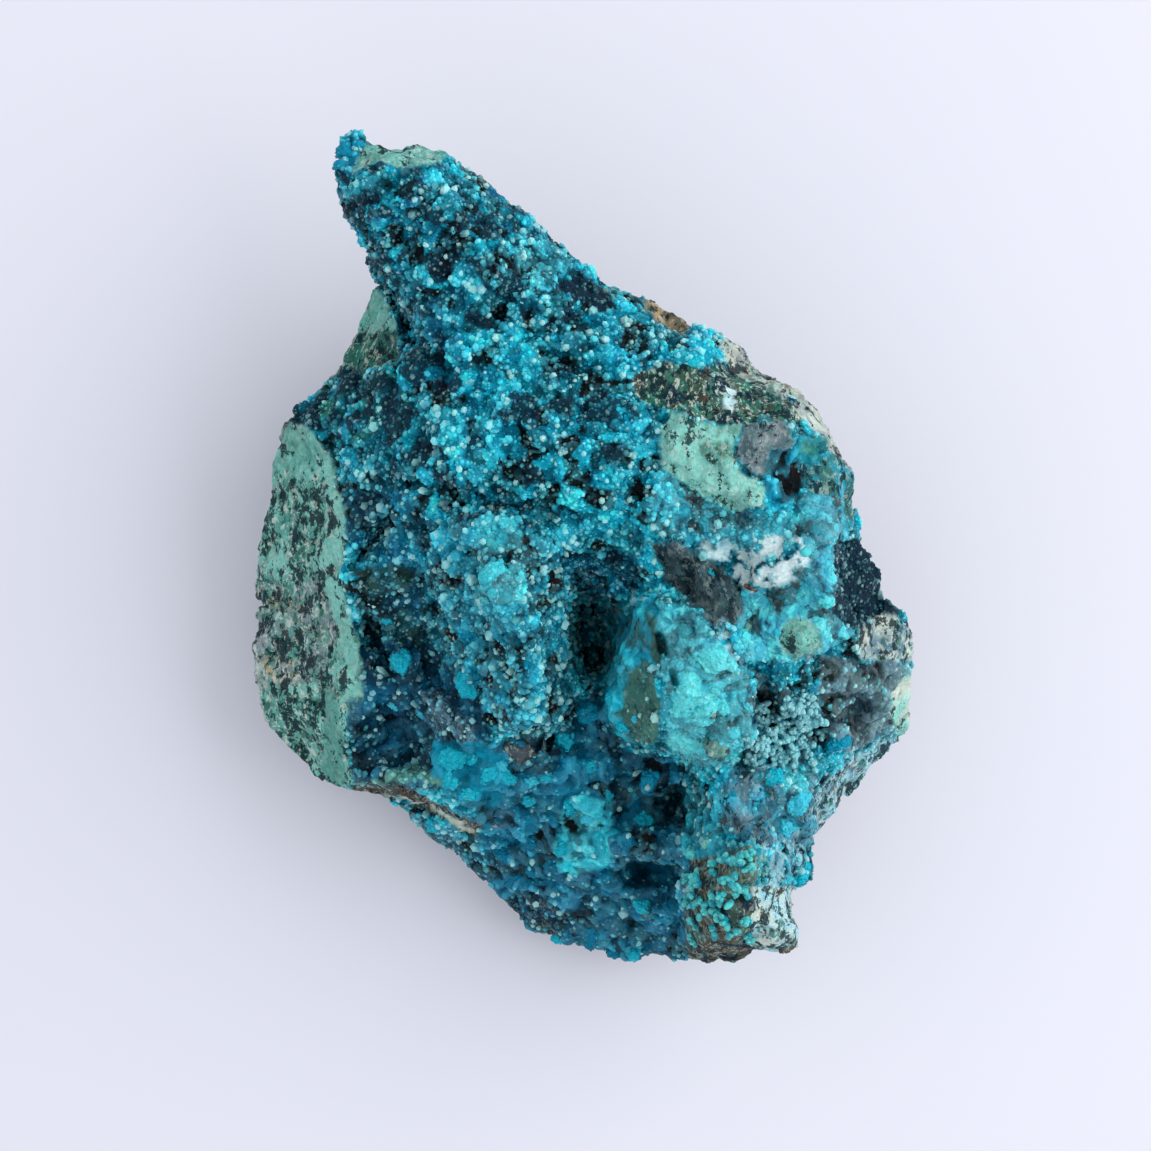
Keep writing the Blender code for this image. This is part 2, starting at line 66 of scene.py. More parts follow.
# The share of the druse's crystals that are blunt grains, not pointed ones.
GRAIN_SHARE = 0.6

# Half width in mm of the soft edge of a patch or a vein.
SOFT_EDGE = 0.25

# Heights in mm between which painted shade turns the undercut rock under the crust dark deep blue.
OVERHANG_SHADE_START = 19.0
OVERHANG_SHADE_FULL = 26.0

SIGHT_HEIGHT = 600.0
SIGHT_AXIS = np.array((-0.55, -2.1))
LEVEL = 26.0
VIEW_WIDTH = 115.1
SENSOR_WIDTH = 36.0

# Turn, in radians, of the streaks in stretched shader noise.
STREAK_TURN = 0.3

# A place just past the edge moves in by steps of this many mm, up to this many times.
EDGE_STEP = 0.3
MOST_EDGE_STEPS = 12

# The stage, in metres and linear colours.
FLOOR_SIZE = 1.5
FLOOR_COLOURS = (0.775, 0.77, 0.835), (0.795, 0.79, 0.855)
WINDOW_PLACE = (0.5, 0.12, 0.4)
WINDOW_SIZE = 0.75
SKY_COLOUR = (0.9, 0.93, 1.0, 1.0)


def screen_colour(red, green, blue):
    """Linear colour of 0-255 screen values."""
    shares = np.array((red, green, blue)) / 255
    return tuple(np.where(shares <= 0.04045, shares / 12.92, ((shares + 0.055) / 1.055) ** 2.4))


SCREEN_COLOURS = {
    "teal": (0, 168, 200), "turquoise": (20, 204, 226), "bright": (80, 232, 255),
    "pale": (234, 255, 255), "blue": (0, 112, 150), "sky": (0, 136, 168), "lit": (104, 214, 218),
    "deep": (0, 92, 124), "navy": (0, 56, 82), "mint": (146, 214, 198), "sage": (102, 166, 154),
    "green": (36, 126, 104), "olive": (62, 112, 104), "black": (14, 32, 42),
    "brown": (96, 82, 66), "tan": (188, 160, 120), "cream": (216, 222, 206),
    "grey": (146, 156, 160), "dark grey": (66, 78, 84), "mauve": (106, 138, 156),
    "ice": (168, 226, 240), "rust": (150, 82, 54), "stain": (74, 124, 110), "moss": (96, 106, 66),
    "frost": (196, 242, 234), "slate": (86, 108, 114),
    "yellow-green": (150, 190, 120),
}
COLOURS = {name: screen_colour(*values) for name, values in SCREEN_COLOURS.items()}

# What grows on each patch of the upper side, in the order that it is laid: outline in plan mm,
# two colours that noise mixes, and the shares of speckle, druse, knobs and black crystals.
PATCHES = [
    ("horn", [
        (-26.1, 42.6), (-14.1, 42.5), (-3.6, 33.0), (1.9, 26.4), (-2.1, 22.4), (-10.1, 22.4),
        (-15.1, 19.4), (-17.6, 21.4), (-18.9, 25.9), (-21.9, 29.6), (-24.1, 31.9), (-26.6, 36.5),
    ], ("turquoise", "blue"), (0.0, 1.0, 0.0, 0.28)),
    ("bright horn", [
        (-6.6, 31.4), (-3.6, 31.9), (-0.9, 29.2), (-2.1, 25.4), (-5.1, 25.4), (-6.6, 27.9),
    ], ("bright", "bright"), (0.0, 0.8, 0.0, 0.0)),
    ("black patch", [
        (-2.1, 28.4), (2.4, 26.6), (3.7, 24.9), (1.9, 24.2), (-0.6, 25.4), (-2.3, 26.4),
    ], ("navy", "black"), (0.0, 0.8, 0.0, 0.9)),
    ("horn cap", [
        (-22.9, 38.6), (-21.9, 41.0), (-15.1, 41.2), (-13.2, 39.7), (-15.1, 38.9), (-18.1, 38.6),
        (-19.6, 39.1), (-21.9, 38.2),
    ], ("sage", "mint"), (0.5, 0.0, 0.0, 0.0)),
    ("green ledge", [
        (-23.4, 30.2), (-21.9, 29.9), (-20.3, 26.9), (-19.1, 24.9), (-18.3, 22.4), (-18.1, 20.2),
        (-19.6, 18.6), (-23.6, 18.2), (-26.6, 18.5), (-26.6, 24.0), (-24.9, 27.0),
    ], ("mint", "sage"), (0.35, 0.0, 0.0, 0.0)),
    ("dark ledge", [
        (-23.6, 22.4), (-18.5, 22.4), (-18.1, 19.2), (-21.1, 18.1), (-25.1, 18.4),
    ], ("green", "olive"), (0.8, 0.0, 0.0, 0.1)),
    ("north-west shoulder", [
        (-25.1, 18.6), (-19.1, 18.4), (-16.6, 14.0), (-19.1, 10.5), (-23.6, 11.5), (-30.5, 13.5),
        (-28.9, 16.5),
    ], ("teal", "green"), (0.0, 0.9, 0.0, 0.6)),
    ("west band", [
        (-36.6, 12.4), (-31.9, 13.2), (-27.9, 13.1), (-25.4, 10.2), (-24.8, 8.0), (-23.5, 5.2),
        (-23.2, 2.5), (-23.7, -0.3), (-24.0, -3.6), (-23.2, -6.5), (-22.1, -9.2), (-21.0, -11.4),
        (-21.5, -13.9), (-23.2, -16.4), (-23.4, -19.2), (-22.9, -22.6), (-23.5, -25.8),
        (-28.1, -27.1), (-36.6, -23.6),
    ], ("sage", "mint"), (1.0, 0.0, 0.0, 0.0)),
    ("tan band", [
        (-33.6, -3.0), (-26.0, -2.5), (-24.6, -6.5), (-25.6, -12.5), (-30.0, -13.5), (-34.6, -12.6),
    ], ("sage", "grey"), (1.0, 0.0, 0.0, 0.0)),
    ("tan island", [
        (-31.4, -3.8), (-28.6, -4.2), (-26.9, -6.8), (-27.6, -7.6), (-29.4, -5.8), (-31.6, -5.0),
    ], ("tan", "sage"), (0.9, 0.0, 0.0, 0.0)),
    ("tan foot", [
        (-32.4, -9.8), (-29.0, -10.4), (-28.2, -12.4), (-30.6, -13.0), (-32.9, -12.6),
    ], ("tan", "cream"), (0.9, 0.0, 0.0, 0.0)),
    ("west rim", [
        (-34.5, 4.0), (-32.4, 3.0), (-32.2, -3.0), (-31.6, -9.0), (-31.8, -16.0), (-29.5, -22.0),
        (-33.0, -23.0), (-36.0, -12.0),
    ], ("cream", "grey"), (1.0, 0.0, 0.0, 0.0)),
    ("mint top", [
        (-36.6, 13.0), (-31.9, 13.2), (-27.9, 13.1), (-25.3, 10.2), (-24.7, 7.8), (-25.9, 8.7),
        (-27.9, 7.5), (-29.7, 8.4), (-31.9, 7.5), (-36.6, 7.5),
    ], ("sage", "mint"), (0.3, 0.0, 0.0, 0.0)),
    ("dark band", [
        (-21.1, 7.5), (-14.1, 7.0), (-6.1, 4.5), (-6.1, 5.5), (-14.1, 8.4), (-20.6, 8.7),
    ], ("teal", "teal"), (0.0, 1.0, 0.0, 0.42)),
    ("dark grains", [
        (-4.1, 0.5), (5.9, 0.2), (5.9, -3.5), (1.9, -4.3), (-3.6, -3.0),
    ], ("teal", "blue"), (0.0, 1.0, 0.0, 0.45)),
    ("rim speckle", [
        (5.9, 18.2), (8.4, 19.2), (11.9, 18.6), (15.4, 19.2), (17.9, 16.9), (21.9, 14.9),
        (22.9, 12.9), (20.9, 12.9), (17.9, 13.9), (15.9, 12.9), (11.9, 13.7), (9.1, 14.2),
        (5.9, 15.4), (5.1, 16.9),
    ], ("brown", "green"), (0.95, 0.25, 0.0, 0.35)),
    ("aqua patch", [
        (14.1, 16.8), (15.4, 16.9), (15.9, 15.4), (15.1, 14.2), (14.1, 14.9),
    ], ("pale", "ice"), (0.0, 0.0, 0.1, 0.0)),
    ("brown rim", [
        (5.9, 26.6), (11.5, 23.8), (10.2, 22.0), (6.9, 23.4),
    ], ("brown", "tan"), (0.5, 0.0, 0.0, 0.0)),
    ("pale north rim", [
        (13.3, 22.6), (15.9, 22.0), (18.0, 18.2), (16.7, 17.3), (14.5, 19.7),
    ], ("cream", "grey"), (0.35, 0.0, 0.0, 0.0)),
    ("tan rim", [
        (16.4, 20.9), (21.6, 17.6), (22.6, 15.0), (18.9, 16.4), (16.4, 18.0),
    ], ("cream", "brown"), (0.7, 0.0, 0.0, 0.0)),
    ("pale east rim", [
        (21.0, 15.9), (24.4, 14.8), (26.9, 11.4), (28.5, 8.1), (26.9, 6.3), (25.6, 9.2),
        (23.7, 11.7), (21.7, 13.7),
    ], ("cream", "grey"), (0.3, 0.0, 0.0, 0.0)),
    ("mint face", [
        (9.1, 14.2), (11.9, 13.4), (15.7, 13.1), (15.4, 10.4), (15.9, 8.4), (17.4, 7.5),
        (18.7, 6.2), (18.4, 4.2), (16.9, 3.6), (15.4, 4.5), (10.9, 6.8), (8.1, 8.4), (7.9, 11.4),
    ], ("mint", "mint"), (0.45, 0.0, 0.0, 0.0)),
    ("olive stain", [
        (12.0, 10.8), (14.4, 11.4), (15.9, 10.6), (15.6, 9.2), (13.9, 9.5), (12.2, 9.6),
    ], ("moss", "sage"), (0.6, 0.0, 0.0, 0.0)),
    ("quartz face", [
        (15.9, 12.9), (17.9, 13.7), (20.4, 13.4), (21.2, 11.4), (20.9, 9.8), (19.1, 9.2),
        (18.1, 8.0), (16.9, 8.4), (15.7, 9.9),
    ], ("grey", "slate"), (0.3, 0.0, 0.0, 0.0)),
    ("blue east", [
        (18.7, 10.2), (21.9, 10.7), (22.7, 8.0), (21.7, 5.5), (18.9, 5.0), (18.1, 7.5),
    ], ("sky", "teal"), (0.0, 0.1, 1.0, 0.0)),
    ("grey-green east", [
        (22.1, 10.4), (24.9, 10.4), (27.4, 7.7), (27.4, 4.0), (25.7, 2.5), (23.4, 3.5), (22.1, 6.5),
    ], ("olive", "teal"), (0.45, 0.0, 0.2, 0.0)),
    ("east cap", [
        (21.9, 11.4), (24.4, 11.4), (24.7, 9.7), (23.1, 8.8), (21.9, 9.7),
    ], ("teal", "green"), (0.1, 0.0, 0.4, 0.0)),
    ("north-east slope", [
        (8.0, 8.0), (11.0, 6.4), (15.4, 4.1), (18.9, 4.6), (21.9, 4.5), (21.5, 0.5), (16.0, 0.0),
        (12.0, 1.0), (8.0, 2.0), (6.0, 5.0),
    ], ("turquoise", "teal"), (0.05, 0.3, 0.9, 0.1)),
    ("east ridges", [
        (21.5, 5.5), (25.6, 5.8), (26.5, 2.0), (26.1, -2.0), (26.4, -8.6), (24.3, -9.6),
        (20.9, -10.6), (16.1, -10.6), (15.3, -4.5), (19.9, -2.0), (21.9, 0.0),
    ], ("bright", "teal"), (0.05, 0.0, 1.0, 0.05)),
    ("white-cyan", [
        (15.4, -0.4), (18.2, 1.7), (22.0, 1.9), (23.2, -0.4), (20.6, -3.3), (17.1, -3.6),
        (15.2, -2.3),
    ], ("pale", "pale"), (0.0, 0.0, 0.15, 0.0)),
    ("white-blue", [
        (11.7, 1.3), (13.9, 2.0), (15.8, 0.8), (15.5, -0.7), (13.1, -0.8), (11.7, -0.1),
    ], ("pale", "ice"), (0.0, 0.0, 0.15, 0.0)),
    ("black druse east", [
        (25.4, 1.6), (28.4, 1.6), (31.9, -4.5), (31.4, -6.4), (26.9, -7.3), (25.2, -5.8),
    ], ("black", "black"), (0.0, 0.75, 0.25, 1.0)),
    ("green round", [
        (19.9, -7.2), (21.4, -6.2), (23.3, -6.6), (24.2, -8.2), (23.5, -10.1), (21.7, -10.7),
        (20.2, -9.8), (19.6, -8.5),
    ], ("mint", "sage"), (0.5, 0.0, 0.0, 0.0)),
    ("dark slab", [
        (7.0, 1.0), (9.9, 1.2), (12.1, -0.4), (15.4, -2.2), (16.5, -4.5), (15.5, -7.2),
        (13.4, -7.2), (10.9, -4.8), (8.4, -2.6),
    ], ("slate", "black"), (0.25, 0.0, 0.0, 0.2)),
    ("mauve curve", [
        (13.2, -6.4), (14.9, -6.6), (15.4, -9.0), (16.6, -11.2), (20.6, -13.1), (20.4, -14.5),
        (17.2, -14.1), (14.7, -11.8), (13.5, -9.3),
    ], ("dark grey", "ice"), (0.3, 0.0, 0.0, 0.1)),
    ("pebble", [
        (27.7, -7.0), (30.4, -6.0), (33.6, -7.2), (33.6, -10.3), (30.4, -11.0), (27.9, -10.3),
    ], ("cream", "mauve"), (0.85, 0.0, 0.0, 0.0)),
    ("blue-grey east", [
        (23.9, -9.8), (28.1, -10.8), (32.9, -10.8), (33.4, -14.6), (30.9, -17.8), (26.9, -19.6),
        (23.7, -19.0), (23.1, -14.6),
    ], ("mauve", "slate"), (0.1, 0.15, 1.0, 0.15)),
    ("cream rim", [
        (30.9, -13.6), (32.7, -11.4), (34.3, -14.6), (33.7, -17.6), (31.6, -18.3), (30.5, -16.1),
    ], ("cream", "mint"), (0.3, 0.0, 0.0, 0.0)),
    ("finger bed", [
        (17.1, -13.8), (23.9, -13.6), (24.1, -17.6), (22.4, -20.8), (17.9, -20.4), (16.9, -16.6),
    ], ("slate", "sky"), (0.0, 0.2, 0.8, 0.1)),
    # The streaked face's pale ground is partly painted light on a face turned towards the window;
    # its streaks are the stone's own.
    ("streaked face", [
        (34.4, -17.6), (31.4, -20.6), (28.4, -24.6), (25.9, -27.6), (23.2, -30.6), (22.3, -26.1),
        (23.6, -23.1), (26.6, -20.8), (30.0, -18.3),
    ], ("ice", "mauve"), (0.9, 0.0, 0.0, 0.0)),
    ("south-east mix", [
        (15.4, -20.9), (23.1, -20.9), (23.4, -28.9), (15.9, -28.9), (13.0, -26.0),
    ], ("mauve", "teal"), (0.25, 0.1, 0.7, 0.15)),
    ("turquoise south-east", [
        (19.6, -20.8), (22.6, -20.8), (22.6, -23.8), (20.1, -23.8),
    ], ("turquoise", "bright"), (0.0, 0.3, 0.6, 0.0)),
    ("pillar top", [
        (9.9, -29.6), (17.3, -29.2), (17.3, -39.5), (11.9, -41.4), (9.9, -38.5),
    ], ("olive", "brown"), (0.4, 0.0, 0.6, 0.3)),
    ("pillar wall", [
        (9.6, -23.6), (14.1, -24.0), (14.3, -29.8), (9.9, -30.4),
    ], ("teal", "turquoise"), (0.05, 0.2, 0.9, 0.1)),
    ("white-blue pillar", [
        (18.2, -28.9), (22.4, -28.9), (22.2, -33.0), (20.4, -34.2), (18.2, -33.6),
    ], ("ice", "mauve"), (0.3, 0.0, 0.25, 0.0)),
    ("streaky pillar", [
        (17.1, -33.0), (21.4, -33.4), (22.3, -40.9), (17.1, -41.4),
    ], ("ice", "cream"), (0.8, 0.0, 0.0, 0.0)),
    ("green vein", [
        (17.1, -28.3), (18.1, -28.3), (18.8, -30.6), (18.4, -33.0), (17.4, -32.8), (17.7, -30.6),
    ], ("sage", "sage"), (0.35, 0.0, 0.0, 0.0)),
    ("brown pillar foot", [
        (10.6, -38.4), (17.4, -38.6), (17.4, -42.8), (10.9, -42.8),
    ], ("brown", "black"), (0.5, 0.0, 0.2, 0.2)),
    ("west crust", [
        (-23.6, 7.0), (-18.0, 7.0), (-14.5, 3.0), (-15.5, -1.5), (-19.5, -1.2), (-23.4, 2.0),
    ], ("blue", "teal"), (0.0, 0.8, 0.3, 0.15)),
    ("olive west", [
        (-22.9, -1.8), (-18.6, -0.9), (-15.6, -1.6), (-14.9, -8.6), (-18.1, -9.3), (-22.3, -8.2),
    ], ("olive", "blue"), (0.0, 0.8, 0.2, 0.2)),
    ("west hollow", [
        (-22.4, -9.0), (-15.2, -9.0), (-11.5, -12.0), (-8.6, -17.6), (-10.6, -20.0), (-16.0, -19.0),
        (-22.0, -15.0),
    ], ("blue", "navy"), (0.0, 0.4, 0.5, 0.3)),
    ("mound", [
        (-14.6, 2.6), (-10.6, 3.9), (-6.1, 3.7), (-3.4, 1.0), (-1.9, -2.6), (-1.6, -6.6),
        (-0.9, -10.6), (-1.1, -14.6), (-2.4, -17.8), (-5.1, -18.8), (-8.1, -17.6), (-10.3, -14.6),
        (-12.8, -11.6), (-14.6, -8.6), (-15.4, -4.6), (-15.5, -0.6),
    ], ("teal", "teal"), (0.0, 0.7, 0.6, 0.04)),
    ("mound flake", [
        (-10.6, 3.6), (-6.0, 3.7), (-5.8, 0.6), (-8.0, 0.2), (-10.4, 0.6),
    ], ("turquoise", "bright"), (0.0, 0.2, 0.6, 0.0)),
    ("mound pale", [
        (-10.1, -1.0), (-6.1, -1.0), (-5.8, -4.9), (-8.0, -5.4), (-10.0, -4.6),
    ], ("bright", "turquoise"), (0.0, 0.1, 0.9, 0.0)),
    ("purple ridge", [
        (-16.5, -14.0), (-14.1, -13.9), (-10.9, -17.4), (-10.4, -19.8), (-12.6, -20.0),
        (-15.3, -17.6),
    ], ("mauve", "navy"), (0.2, 0.8, 0.0, 0.1)),
    ("south hollow", [
        (-10.3, -18.6), (-2.1, -18.1), (1.9, -13.0), (5.0, -19.6), (10.9, -21.1), (10.4, -42.5),
        (1.9, -42.5), (-7.1, -39.5), (-11.1, -33.5), (-11.1, -26.6),
    ], ("sky", "blue"), (0.0, 0.15, 0.95, 0.05)),
    ("pocket", [
        (-23.1, -14.6), (-18.1, -14.1), (-14.9, -16.6), (-12.0, -20.0), (-13.1, -23.0),
        (-18.1, -23.4), (-22.9, -23.2),
    ], ("blue", "navy"), (0.0, 0.3, 0.8, 0.0)),
    ("smooth lobes", [
        (-15.1, -18.9), (-11.1, -18.6), (-7.4, -20.4), (-7.1, -23.3), (-8.1, -25.3), (-11.6, -25.3),
        (-14.5, -22.6),
    ], ("teal", "sky"), (0.0, 0.0, 0.7, 0.0)),
    ("below lip", [
        (-21.5, -25.0), (-17.1, -25.3), (-10.1, -28.6), (-8.1, -34.5), (-11.6, -34.8),
        (-16.1, -30.6), (-20.6, -27.1),
    ], ("blue", "teal"), (0.1, 0.6, 0.5, 0.1)),
    ("lip edge", [
        (-22.9, -23.2), (-18.1, -22.9), (-14.9, -24.2), (-9.9, -27.2), (-10.5, -28.6),
        (-15.1, -25.6), (-18.3, -24.4), (-22.3, -24.5),
    ], ("brown", "dark grey"), (0.5, 0.0, 0.0, 0.1)),
    ("bright cluster", [
        (-1.6, -24.6), (2.9, -24.6), (3.1, -31.6), (-1.3, -31.8), (-2.6, -28.6),
    ], ("turquoise", "bright"), (0.0, 0.1, 1.0, 0.0)),
    ("south dark", [
        (-7.0, -34.0), (-4.6, -34.4), (-0.6, -36.4), (-0.6, -38.2), (-3.6, -38.2), (-6.6, -36.2),
    ], ("navy", "blue"), (0.2, 0.5, 0.3, 0.5)),
    # The teal knob and the bright knob are the west and east sides of one knob: the east side's
    # brighter colour is partly painted light on the side towards the window, partly the crust's own
    # colour.
    ("teal knob", [
        (2.2, -13.6), (3.5, -8.6), (5.7, -4.8), (8.3, -4.8), (8.1, -11.1), (5.1, -11.6),
        (5.5, -19.1), (3.1, -18.0),
    ], ("teal", "turquoise"), (0.1, 0.0, 0.8, 0.0)),
    ("bright knob", [
        (7.9, -4.8), (11.9, -5.8), (14.6, -9.6), (16.6, -12.6), (17.3, -17.6), (15.4, -21.0),
        (10.9, -21.0), (8.7, -19.0), (8.1, -11.6),
    ], ("bright", "bright"), (0.0, 0.0, 0.9, 0.0)),
    ("olive ridge", [
        (2.9, -5.7), (3.8, -5.1), (4.8, -6.2), (7.0, -7.1), (7.3, -8.7), (5.3, -9.5), (3.8, -8.2),
    ], ("olive", "teal"), (0.1, 0.0, 0.2, 0.0)),
    ("olive facet", [
        (4.6, -11.7), (6.2, -10.6), (7.4, -12.6), (7.9, -14.5), (8.1, -17.0), (7.4, -18.7),
        (5.9, -19.2), (4.8, -18.1), (3.8, -15.9), (4.4, -13.7),
    ], ("olive", "stain"), (0.14, 0.1, 0.08, 0.0)),
]

# Patches whose crust is glossy and finely wrinkled.
WRINKLED = (
    "bright knob", "mound flake", "mound pale", "turquoise south-east", "east ridges",
    "north-east slope",
)

# Patches that lie in ragged flecks, not as one sheet.
BROKEN = (
    "white-cyan", "white-blue", "aqua patch", "tan island", "tan foot", "olive stain",
    "mauve curve", "west rim", "green vein", "white-blue pillar",
)

# Patches with brown rock, not blue crust, in the gaps between their lumps.
EARTHY = ("pillar top", "south-east mix", "rim speckle", "olive west", "grey-green east")

# Mint and dark veins that run along the west band: points in plan mm, half width, colour.
VEINS = [
    ([(-25.2, 8.6), (-24.1, 4.7), (-24.2, 1.9), (-25.1, -0.1), (-26.6, -0.9)], 0.75, "mint"),
    ([(-25.0, -3.4), (-23.9, -5.8), (-23.6, -8.6), (-22.5, -11.3), (-22.8, -13.6)], 0.8, "mint"),
    ([(-24.9, -14.6), (-24.7, -18.6), (-24.8, -21.6), (-24.9, -24.8)], 0.95, "sage"),
    ([(-30.8, -0.9), (-29.6, -0.6)], 0.7, "mint"),
    ([(-14.8, -25.2), (-10.7, -27.7)], 0.35, "cream"),
    ([(-20.3, -22.6), (-16.1, -21.9), (-12.9, -22.9)], 0.45, "sage"),
    ([(7.2, -6.3), (7.6, -10.4)], 0.5, "olive"),
]

# Black spots in the druse: middle in plan mm, half width and half height.
BLACK_SPOTS = [
    (-6.0, 14.6, 2.4, 1.3), (-13.2, 7.4, 1.2, 1.0), (-5.4, 7.7, 1.2, 0.9), (-9.2, 4.2, 3.6, 1.3),
    (-16.3, 10.1, 2.0, 1.5), (-13.2, 16.8, 1.2, 1.1), (-16.1, 19.4, 2.2, 2.0),
    (1.4, 14.2, 3.6, 1.1), (-20.5, 38.2, 1.5, 0.6), (-20.0, 29.0, 1.3, 1.7),
    (-8.9, 33.0, 2.1, 1.5), (-16.0, 25.4, 0.9, 1.0), (-8.2, 24.0, 0.9, 1.0),
    (-7.2, 27.0, 1.1, 1.3), (-3.0, 26.4, 1.2, 0.7), (-12.4, 30.4, 1.0, 0.8),
    (-14.6, 33.6, 1.1, 0.7), (-23.4, 34.6, 0.8, 1.1), (-20.6, 34.2, 1.4, 0.6),
    (-17.8, 13.6, 1.2, 0.8), (-1.6, 18.4, 1.0, 0.6), (3.4, 10.0, 0.9, 0.6), (-2.4, 4.4, 1.6, 0.7),
    (-21.2, 5.6, 1.2, 1.0),
]

# Small holes that are finer than the solid: one end, other end, half width, depth, in mm.
HOLES = [
    ((-21.6, -7.2), (-21.0, -9.2), 0.9, 2.5),
    ((-20.0, -10.8), (-19.2, -11.4), 0.8, 2.5),
    ((-23.1, -1.5), (-19.9, 2.4), 0.45, 2.5),
    ((-4.0, -18.4), (-4.0, -18.9), 0.8, 2.5),
    ((17.8, -14.4), (17.6, -16.8), 0.6, 3.0),
    ((23.7, -17.6), (24.1, -18.4), 0.8, 2.5),
    ((7.9, -8.2), (8.3, -9.6), 0.4, 2.2),
    ((9.2, -11.8), (9.4, -12.8), 0.35, 1.8),
    ((-8.1, 24.6), (-8.1, 24.0), 0.8, 2.0),
    ((-18.6, 26.4), (-17.1, 21.4), 0.6, 2.0),
    ((-17.1, 21.4), (-13.1, 18.8), 0.5, 1.6),
    ((5.2, -32.4), (8.6, -32.4), 0.7, 0.9),
]

# Balls and lobes of smooth crust: plan x and y, half width and half length in mm, turn in
# degrees, how far the middle is sunk below the skin as a share of its height, and colour.
BALLS = [
    (-23.6, 40.4, 1.2, 1.0, 30, 0.0, "teal"), (-24.2, 39.0, 0.8, 0.6, 20, 0.0, "teal"),
    (-22.3, 41.0, 0.7, 0.6, 0, 0.1, "teal"), (-19.4, -6.5, 0.6, 0.65, 0, 0.1, "turquoise"),
    (-18.1, -10.7, 1.35, 1.35, 0, 0.1, "turquoise"),
    (-11.6, -13.2, 1.4, 1.65, 20, 0.1, "turquoise"), (-18.8, -15.1, 0.9, 0.6, -30, 0.2, "bright"),
    (-16.0, -15.8, 0.5, 0.9, 10, 0.2, "bright"), (-8.2, -20.9, 0.8, 1.1, 40, 0.3, "bright"),
    (-7.2, -22.2, 1.1, 0.8, -20, 0.3, "turquoise"), (-5.2, -22.7, 1.3, 0.8, 0, 0.3, "bright"),
    (-3.4, -22.1, 1.0, 0.8, 35, 0.3, "turquoise"), (-1.7, -18.7, 1.2, 1.45, 0, 0.1, "turquoise"),
    (-12.9, -20.3, 1.6, 1.4, 0, 0.3, "turquoise"), (-10.9, -20.4, 0.9, 0.9, 0, 0.0, "turquoise"),
    (-9.3, -22.0, 1.4, 1.2, 30, 0.3, "turquoise"), (-11.3, -23.8, 1.4, 0.9, -10, 0.3, "turquoise"),
    (-13.2, -22.5, 1.1, 1.3, 0, 0.3, "turquoise"), (0.8, -15.6, 1.6, 1.6, 0, 0.1, "teal"),
    (4.2, -17.2, 0.9, 0.75, -30, 0.0, "turquoise"), (2.9, -14.5, 0.6, 0.8, 0, 0.0, "turquoise"),
    (5.4, -16.5, 0.42, 0.45, 0, 0.0, "bright"), (16.6, -7.4, 0.65, 0.6, 0, 0.0, "mint"),
    (25.7, -19.1, 1.7, 0.85, 25, 0.2, "teal"), (21.7, -24.8, 1.5, 1.5, 0, 0.1, "bright"),
    (20.4, -27.2, 1.4, 1.4, 0, 0.1, "bright"), (19.4, -22.4, 1.2, 1.0, 0, 0.2, "turquoise"),
    (12.5, -28.9, 0.65, 0.65, 0, 0.0, "mint"), (11.0, -33.4, 0.62, 0.62, 0, 0.0, "ice"),
    (21.7, -32.3, 1.2, 1.0, 0, 0.1, "turquoise"), (22.4, -31.2, 0.8, 0.9, 0, 0.2, "turquoise"),
    (6.5, -26.6, 1.2, 1.2, 0, 0.0, "turquoise"), (7.3, -22.2, 1.5, 1.7, 0, 0.2, "teal"),
    (-1.1, -25.3, 1.0, 1.1, 0, 0.2, "turquoise"), (-5.2, -24.6, 0.8, 0.8, 0, 0.2, "turquoise"),
    (-4.9, -28.9, 1.3, 0.9, -35, 0.2, "sky"), (-7.3, -29.8, 1.3, 1.3, 0, 0.2, "sky"),
    (-1.9, -29.5, 0.9, 0.9, 0, 0.2, "turquoise"), (-4.7, -31.7, 1.1, 1.0, 0, 0.3, "sky"),
    (-6.7, -32.7, 1.4, 1.0, 20, 0.3, "sky"), (-2.8, -30.9, 1.2, 1.0, -20, 0.3, "sky"),
    (6.1, -35.1, 1.1, 0.9, -30, 0.1, "turquoise"), (7.5, -35.3, 0.6, 0.6, 0, 0.1, "sky"),
    (1.0, -38.2, 1.0, 1.6, 0, 0.2, "sky"), (3.4, -39.9, 1.1, 1.0, 0, 0.2, "sky"),
    (5.3, -40.0, 1.0, 1.0, 0, 0.2, "turquoise"), (-2.3, -39.0, 1.0, 0.8, 0, 0.3, "turquoise"),
    (0.9, -21.2, 1.1, 0.9, 0, 0.3, "turquoise"), (2.5, -24.1, 0.8, 0.9, 0, 0.3, "turquoise"),
    (-14.9, -27.0, 0.85, 1.05, 0, 0.0, "turquoise"), (0.6, -26.4, 0.9, 0.8, 0, 0.3, "bright"),
    (3.3, -27.9, 0.9, 0.7, 0, 0.3, "turquoise"), (12.8, -1.8, 0.6, 1.1, 0, 0.4, "turquoise"),
]

# How much further each ball is sunk, and how much darker it is than its colour.
BALL_SINK = 0.25
BALL_SHADE = 0.95

# Bare pebbles and stony knobs, in the same way.
PEBBLES = [
    (-6.1, -19.6, 1.7, 1.3, -10, 0.1, "dark grey"), (13.6, -19.1, 1.5, 1.5, 30, 0.3, "sage"),
    (13.3, -15.9, 0.55, 0.65, 0, 0.3, "olive"), (22.7, -10.1, 0.6, 0.6, 0, 0.3, "mauve"),
    (14.4, -26.8, 1.0, 1.3, 10, 0.5, "dark grey"), (20.6, -39.7, 0.9, 0.8, 0, 0.3, "brown"),
    (17.1, -3.4, 1.0, 0.4, -15, 0.3, "rust"),
]

